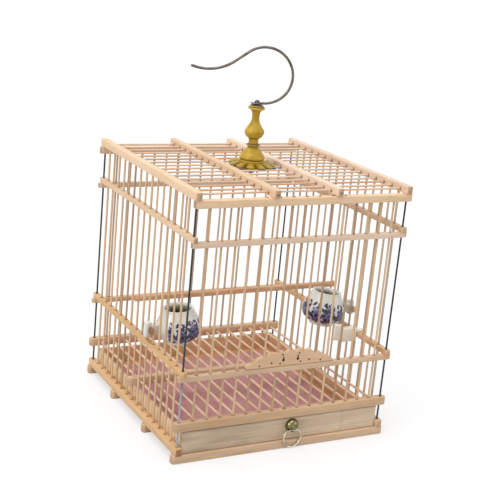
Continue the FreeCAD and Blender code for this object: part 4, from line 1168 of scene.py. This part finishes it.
def make_hook(steel):
    """The hook: a wire circle drawn out, spun round the loop and the tail, and beaten flat into an eye."""
    low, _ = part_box("hook")
    wire, loop, tail = 1.5 * MM, 29.3 * MM, 50 * MM
    loop_turn, tail_turn, straight = math.radians(218), math.radians(54.6), 18 * MM
    start, foot, eye_turn = 4.0 * MM, 5.5 * MM, math.radians(-29)
    clear_selection()
    bpy.ops.mesh.primitive_circle_add(vertices=14, radius=wire, fill_type="NOTHING",
                                      rotation=(0, QUARTER, 0), location=(start, 0, wire))
    piece = added("bent_hook")
    settle(piece)
    edit(piece, "EDGE")
    draw_out((foot - start, 0, 0))
    centre = Vector((foot, 0, wire + loop))
    bpy.ops.mesh.spin(steps=64, angle=loop_turn, center=centre, axis=(0, 1, 0))
    turn = on_arc(centre, loop, loop_turn - QUARTER)
    end = on_arc(turn, straight, loop_turn)
    draw_out(end - turn)
    back = on_arc(end, tail, loop_turn - QUARTER)
    bpy.ops.mesh.spin(steps=20, angle=tail_turn, center=back, axis=(0, -1, 0))
    tip = on_arc(back, tail, loop_turn + QUARTER - tail_turn)
    onward = on_arc(Vector(), 1.0, loop_turn - tail_turn)
    for ahead, slim in ((0.7 * MM, 0.85), (0.4 * MM, 0.6)):
        draw_out(onward * ahead)
        tip += onward * ahead
        bpy.ops.transform.resize(value=(slim, slim, slim), center_override=tip)
    pick(piece, "VERT", lambda part: abs(part.co.x - start) < 0.01 * MM and part.co.z < 4 * MM)
    bpy.ops.mesh.select_mode(type="EDGE")
    at, middle = start, wire
    # The eye: how far along and how high, and how much wider and flatter than the step before.
    for to, level, wide, flat in ((2.6, 1.15, 1.75, 0.66), (1.2, 0.85, 1.33, 0.82), (-5.4, 0.8, 1.0, 0.97),
                                  (-6.5, 1.05, 0.84, 0.9), (-7.0, 1.45, 0.55, 0.8)):
        draw_out((to * MM - at, 0, level * MM - middle))
        at, middle = to * MM, level * MM
        bpy.ops.transform.resize(value=(1, wide, flat), center_override=(at, 0, middle))
    close_up(piece)
    set_down(piece, (0, 0, low.z), (0, 0, eye_turn))
    put_on(piece, "swivel_hook", "bright_steel", steel, "hook", smooth=50)


def make_knob(pivot, brass):
    """The pull's half ball on a collar, with a slot for the ring's bar."""
    low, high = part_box("pull_knob")
    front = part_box("drawer_front")[0].y
    ball, back, collar = (high.x - low.x) / 2 / MM, (high.y - front) / MM, 0.9
    dome = []
    for angle in range(0, 90, 9):
        lift = math.radians(angle)
        dome.append((ball * 0.97 * math.cos(lift), collar + (ball - collar) * math.sin(lift)))
    stud = [(0.0, -back), (1.6, -back), (1.6, -0.05), (ball - 0.3, 0.0), (ball, 0.25), (ball, 0.6),
            (ball - 0.25, 0.85)]
    knob = turned("brass_knob", in_mm(stud + dome + [(0.0, ball)]), 40)
    set_down(knob, ((low.x + high.x) / 2, front, (low.z + high.z) / 2), (QUARTER, 0, 0))
    slot, past, inner, raised = 1.4 * MM, 8 * MM, 4.9 * MM, 2.8 * MM
    # The slot is higher at its two ends, where the raised ring's arms come past the dome.
    for near, far, top in ((-past, past, slot), (-past, -inner, raised), (inner, past, raised)):
        drill(knob, box_between(
            "drill", pivot + Vector((near, -past, -slot)), pivot + Vector((far, slot, top))))
    put_on(knob, "drawer", "brass", brass, "pull_knob")


def make_pull(knob_brass, ring_brass):
    """The brass pull: a knob, and a ring closed by a bar that lies in the knob's slot."""
    low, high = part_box("pull_ring")
    wire, pin, half_mouth = 1.1 * MM, 0.9 * MM, 6.2 * MM
    outside = (high.x - low.x) / 2
    middle = Vector(((low.x + high.x) / 2, (low.y + high.y) / 2, low.z + outside))
    pivot = Vector((middle.x, middle.y, high.z - pin))
    make_knob(pivot, knob_brass)
    loop = outside - wire
    mouth = math.asin(half_mouth / loop)
    clear_selection()
    bpy.ops.mesh.primitive_circle_add(vertices=12, radius=wire, fill_type="NOTHING",
                                      rotation=(0, QUARTER, 0), location=(0, 0, loop))
    ring = added("brass_ring")
    settle(ring)
    edit(ring, "EDGE")
    bpy.ops.transform.rotate(value=mouth, orient_axis="Y", center_override=(0, 0, 0))
    bpy.ops.mesh.spin(steps=56, angle=2 * math.pi - 2 * mouth, center=(0, 0, 0), axis=(0, 1, 0))
    object_mode()
    set_down(ring, middle)
    close_up(ring)
    clear_selection()
    bpy.ops.mesh.primitive_cylinder_add(vertices=16, radius=pin, depth=2 * half_mouth, location=pivot,
                                        rotation=(0, QUARTER, 0))
    bar = added("ring_bar")
    settle(bar)
    weld(ring, bar)
    put_on(ring, "ring", "brass", ring_brass, "pull_ring", smooth=60)


# Cups, pegs and the clip

BELLY_LEVEL = 16 * MM
FOOT_ROUND = 13.5 * MM
CUP_OUT = 88.5 * MM
CUP_LEAN = math.radians(6)
BELLY_LINE = [(13.5, 2.2), (18.0, 4.6), (22.7, 9.4), (24.6, 16.0), (23.5, 22.0), (21.0, 27.0), (18.8, 31.0),
              (17.2, 34.2), (16.4, 36.2)]
FOOT_LINE = [(0.0, 1.2), (11.4, 1.2), (11.8, 0.3), (12.2, 0.0), (13.2, 0.0), (13.5, 0.4), (13.4, 1.8)]
RIM_LINE = [(16.3, 36.6), (16.2, 37.3), (15.9, 37.8), (15.2, 38.0), (14.5, 37.7), (13.9, 36.6)]
WELL_LINE = [(13.0, 34.0), (13.0, 31.0), (16.0, 27.0), (20.0, 22.0), (21.5, 16.0), (19.8, 10.8), (15.4, 7.2),
             (9.0, 5.4)]
# Where the belly is painted and where the well gets painted shade: heights, and how near the skin or inside the
# wall.
PAINT_LOW, PAINT_HIGH, SKIN = 2.4, 30, 0.7
WELL_LOW, WELL_HIGH, WALL, WELL_ROUND = 3.8, 35, 1.2, 23.0


def belly_radius(level):
    """How far the belly's skin is from the cup's middle at a height, all in millimetres."""
    for (start, low), (end, high) in zip(BELLY_LINE, BELLY_LINE[1:]):
        if low <= level <= high:
            return start + (end - start) * (level - low) / (high - low)
    return BELLY_LINE[0][0]


def make_cup(side, node, body, glaze):
    """A round cup with a foot ring, a full belly and a plain rim, leaning on a lug between two splints."""
    low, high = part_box(node)
    drop = BELLY_LEVEL * (1 - math.cos(CUP_LEAN))
    centre = Vector((side * CUP_OUT, (low.y + high.y) / 2, low.z - drop + FOOT_ROUND * math.sin(CUP_LEAN)))
    outline = FOOT_LINE + eased(BELLY_LINE, 4) + eased(RIM_LINE, 3) + eased(WELL_LINE, 4) + [(0.0, 5.0)]
    piece = turned(f"thrown_{node}", in_mm(outline), 64)
    place = Vector((-BELLY_LEVEL * math.sin(CUP_LEAN), 0, drop))
    upright = (Matrix.Translation(place) @ Matrix.Rotation(CUP_LEAN, 4, "Y")).inverted()
    set_down(piece, place, (0, CUP_LEAN, 0))
    lug_level, lug_half, head, arm_half, head_half = 16.8 * MM, 3.75 * MM, 7.2 * MM, 4.9 * MM, 8.5 * MM
    reach = abs(high.x if side > 0 else low.x) - CUP_OUT
    arm = box_between("lug_arm", Vector((22.0 * MM, -lug_half, lug_level - arm_half)),
                      Vector((reach - head / 2, lug_half, lug_level + arm_half)))
    soften(arm, 1.6 * MM, 4)
    knuckle = box_between("lug_head", Vector((reach - head, -lug_half, lug_level - head_half)),
                          Vector((reach, lug_half, lug_level + head_half)))
    soften(knuckle, 2.2 * MM, 4)
    weld(arm, knuckle)
    weld(piece, arm)

    def skin(at):
        own = upright @ at
        return own.z / MM, own.xy.length / MM

    def is_painted(at):
        level, away = skin(at)
        return float(PAINT_LOW < level < PAINT_HIGH and abs(away - belly_radius(level)) < SKIN)

    def is_well(at):
        level, away = skin(at)
        return float(WELL_LOW < level < WELL_HIGH and away < min(belly_radius(level) - WALL, WELL_ROUND))

    add_vectors(piece, "clay", lambda at: upright @ at)
    add_numbers(piece, "painted", is_painted)
    add_numbers(piece, "well_shade", is_well)
    set_down(piece, centre, (0, 0, 0 if side > 0 else math.pi))
    put_on(piece, body, "porcelain", glaze, node, smooth=45)


def make_peg(node, body, wood):
    """A whittled peg, slimmer at its ends."""
    low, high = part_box(node)
    peg = box_between(f"whittled_{node}", low, high)
    pick(peg, "EDGE", lambda part: abs(part.verts[0].co.y - part.verts[1].co.y) > 5 * MM)
    bpy.ops.mesh.subdivide(number_cuts=10)
    pick(peg, "FACE", lambda part: abs(part.normal.y) > 0.9)
    slim_ends = (0.8, 1, 0.7)
    bpy.ops.transform.resize(value=slim_ends, center_override=(low + high) / 2)
    soften(peg, 0.7 * MM)
    sway(peg, 0.2 * MM, 12 * MM)
    mark_grain(peg, Y)
    put_on(peg, body, "peg_wood", wood, node)


def make_clip():
    """The clip: a block hung inside the right strip by a lip, with a finger that stands on its inner end."""
    low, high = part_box("greens_clip")
    strip_low, strip_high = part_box("lower_hoop_right")
    gap, finger, lip, lip_wide, finger_thick = 0.2 * MM, 8.0 * MM, 2.6 * MM, 5.0 * MM, 4.5 * MM
    tall, lift, planed, lap = 17.0 * MM, 4.0 * MM, 1.6 * MM, 3.0 * MM
    root, end = low.x + finger, strip_low.x - gap
    over, outside, tip = strip_high.z + gap, strip_high.x + gap, strip_low.z + 1.0 * MM
    piece = box_between("notched_clip", Vector((root, low.y, low.z + planed)),
                        Vector((end, high.y, low.z + tall)))
    soften(piece, 1.0 * MM)
    hook = sawn("clip_hook", [(end - lap, over), (outside, over), (outside, tip), (high.x, tip),
                              (high.x, over + lip), (end - lap, over + lip)], lip_wide)
    set_down(hook, (0, low.y + lip_wide, 0), (QUARTER, 0, 0))
    soften(hook, 0.5 * MM, 2)
    weld(piece, hook)
    upright = box_between("clip_finger", Vector((low.x, low.y, low.z + lift)),
                          Vector((root + 1.5 * MM, low.y + finger_thick, high.z)))
    soften(upright, 1.2 * MM)
    weld(piece, upright)
    mark_grain(piece, Z)
    wood = rail_bamboo("clip_wood", (255, 248, 234), (250, 238, 218), contrast=0.6, spread=0.0, end_share=0.1)
    put_on(piece, "cage", "pale_wood", wood, "greens_clip")


# Stage

def seen_directly(tree):
    """1 for the rays that show a surface itself, to the camera, in a reflection or through a clear thing."""
    rays = named(put(tree, "ShaderNodeLightPath").outputs)
    return rays["Is Camera Ray"].maths(
        "MAXIMUM", rays["Is Glossy Ray"].maths("MAXIMUM", rays["Is Transmission Ray"]))


def make_stage():
    """A pale floor, an even white surround and soft lamps."""
    clear_selection()
    bpy.ops.mesh.primitive_plane_add(size=40)
    floor = added("studio_floor")
    material, tree, sockets = start_material("studio_floor", {"Roughness": 0.9})
    seen = seen_directly(tree)
    unseen_grey, seen_grey, glow_strength, fill_strength = 0.55, 0.34, 0.62, 0.5
    send(blend(seen, (*[unseen_grey] * 3, 1.0), (*[seen_grey] * 3, 1.0)), sockets["Base Color"])
    glow = signal(tree, "ShaderNodeEmission", {"Color": WHITE, "Strength": glow_strength})
    plain = Signal(tree.nodes["Principled BSDF"].outputs[0])
    both = signal(tree, "ShaderNodeAddShader", {0: plain, 1: glow})
    send(signal(tree, "ShaderNodeMixShader", {0: seen, 1: plain, 2: both}),
         tree.nodes["Material Output"].inputs["Surface"])
    floor.data.materials.append(material)

    world = bpy.data.worlds.new("studio")
    bpy.context.scene.world = world
    world.use_nodes = True
    tree = world.node_tree
    fill = tree.nodes["Background"]
    fill.inputs["Color"].default_value = WHITE
    fill.inputs["Strength"].default_value = fill_strength
    white = signal(tree, "ShaderNodeBackground", {"Color": WHITE, "Strength": 1.0})
    send(signal(tree, "ShaderNodeMixShader", {0: seen_directly(tree), 1: Signal(fill.outputs[0]), 2: white}),
         tree.nodes["World Output"].inputs["Surface"])

    for name, place, breadth, strength in (
            ("lamp_left", (-1.7, -0.35, 0.82), 36, 0.98), ("lamp_right", (1.4, -1.2, 0.72), 36, 0.38),
            ("lamp_top", (-0.3, 0.0, 1.72), 46, 1.6)):
        lamp = bpy.data.lights.new(name, "SUN")
        lamp.angle = math.radians(breadth)
        lamp.energy = strength
        holder = bpy.data.objects.new(name, lamp)
        bpy.context.collection.objects.link(holder)
        holder.location = place
        holder.rotation_euler = (-Vector(place)).to_track_quat("-Z", "Y").to_euler()


def make_camera():
    """The camera at the picture's angle: from the front left, slightly above, with a small roll."""
    azimuth, elevation, roll = math.radians(-29.20), math.radians(15.95), math.radians(5.52)
    place = (-0.5721, -1.0390, 0.5195)
    level = Vector((math.cos(azimuth), math.sin(azimuth), 0))
    back = Vector((math.sin(azimuth) * math.cos(elevation), -math.cos(azimuth) * math.cos(elevation),
                   math.sin(elevation)))
    rise = back.cross(level)
    right = level * math.cos(roll) + rise * math.sin(roll)
    up = rise * math.cos(roll) - level * math.sin(roll)
    data = bpy.data.cameras.new("camera")
    data.sensor_width = 36
    data.sensor_fit = "HORIZONTAL"
    data.lens = 81.20
    camera = bpy.data.objects.new("camera", data)
    bpy.context.collection.objects.link(camera)
    turn = Matrix((right, up, back)).transposed()
    camera.matrix_world = Matrix.Translation(place) @ turn.to_4x4()
    bpy.context.scene.camera = camera


def dress_solids(materials):
    """Materials for the solids that are shown as they are."""
    for node, material in materials.items():
        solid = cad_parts[node]
        solid.data.materials.clear()
        solid.data.materials.append(material)


bpy.context.scene.view_settings.view_transform = "Standard"
make_camera()
make_stage()
make_rails()
make_splints()
make_door_board()
make_perch()
make_drawer()
ochre = ochre_lacquer()
dark_steel = metal("dark_steel", (104, 88, 92), (52, 42, 46), 0.3, 0.25)
bright_steel = metal("bright_steel", (122, 116, 107), (72, 66, 60), 0.2, 0.2)
knob_brass = metal("knob_brass", (138, 127, 90), (70, 62, 40), 0.12, 0.2)
ring_brass = metal("ring_brass", (206, 198, 178), (140, 128, 102), 0.14, 0.25)
make_finial(ochre)
make_skirt(ochre)
make_hook(bright_steel)
make_pull(knob_brass, ring_brass)
porcelain = painted_porcelain()
make_cup(-1, "left_cup", "left_jar", porcelain)
make_peg("left_cup_peg", "left_jar", rail_bamboo("dark_peg_wood", (150, 108, 72), (104, 68, 42)))
make_cup(1, "right_cup", "right_jar", porcelain)
make_peg("right_cup_peg", "right_jar", rail_bamboo("pale_peg_wood", (222, 190, 158), (196, 160, 126)))
make_clip()
steel_nodes = ("clamp_plate", "clamp_nut", "centre_bolt", "hook_washer")
dress_solids({"corner_wires": blued_wire(), "pull_nut": knob_brass} | dict.fromkeys(steel_nodes, dark_steel))
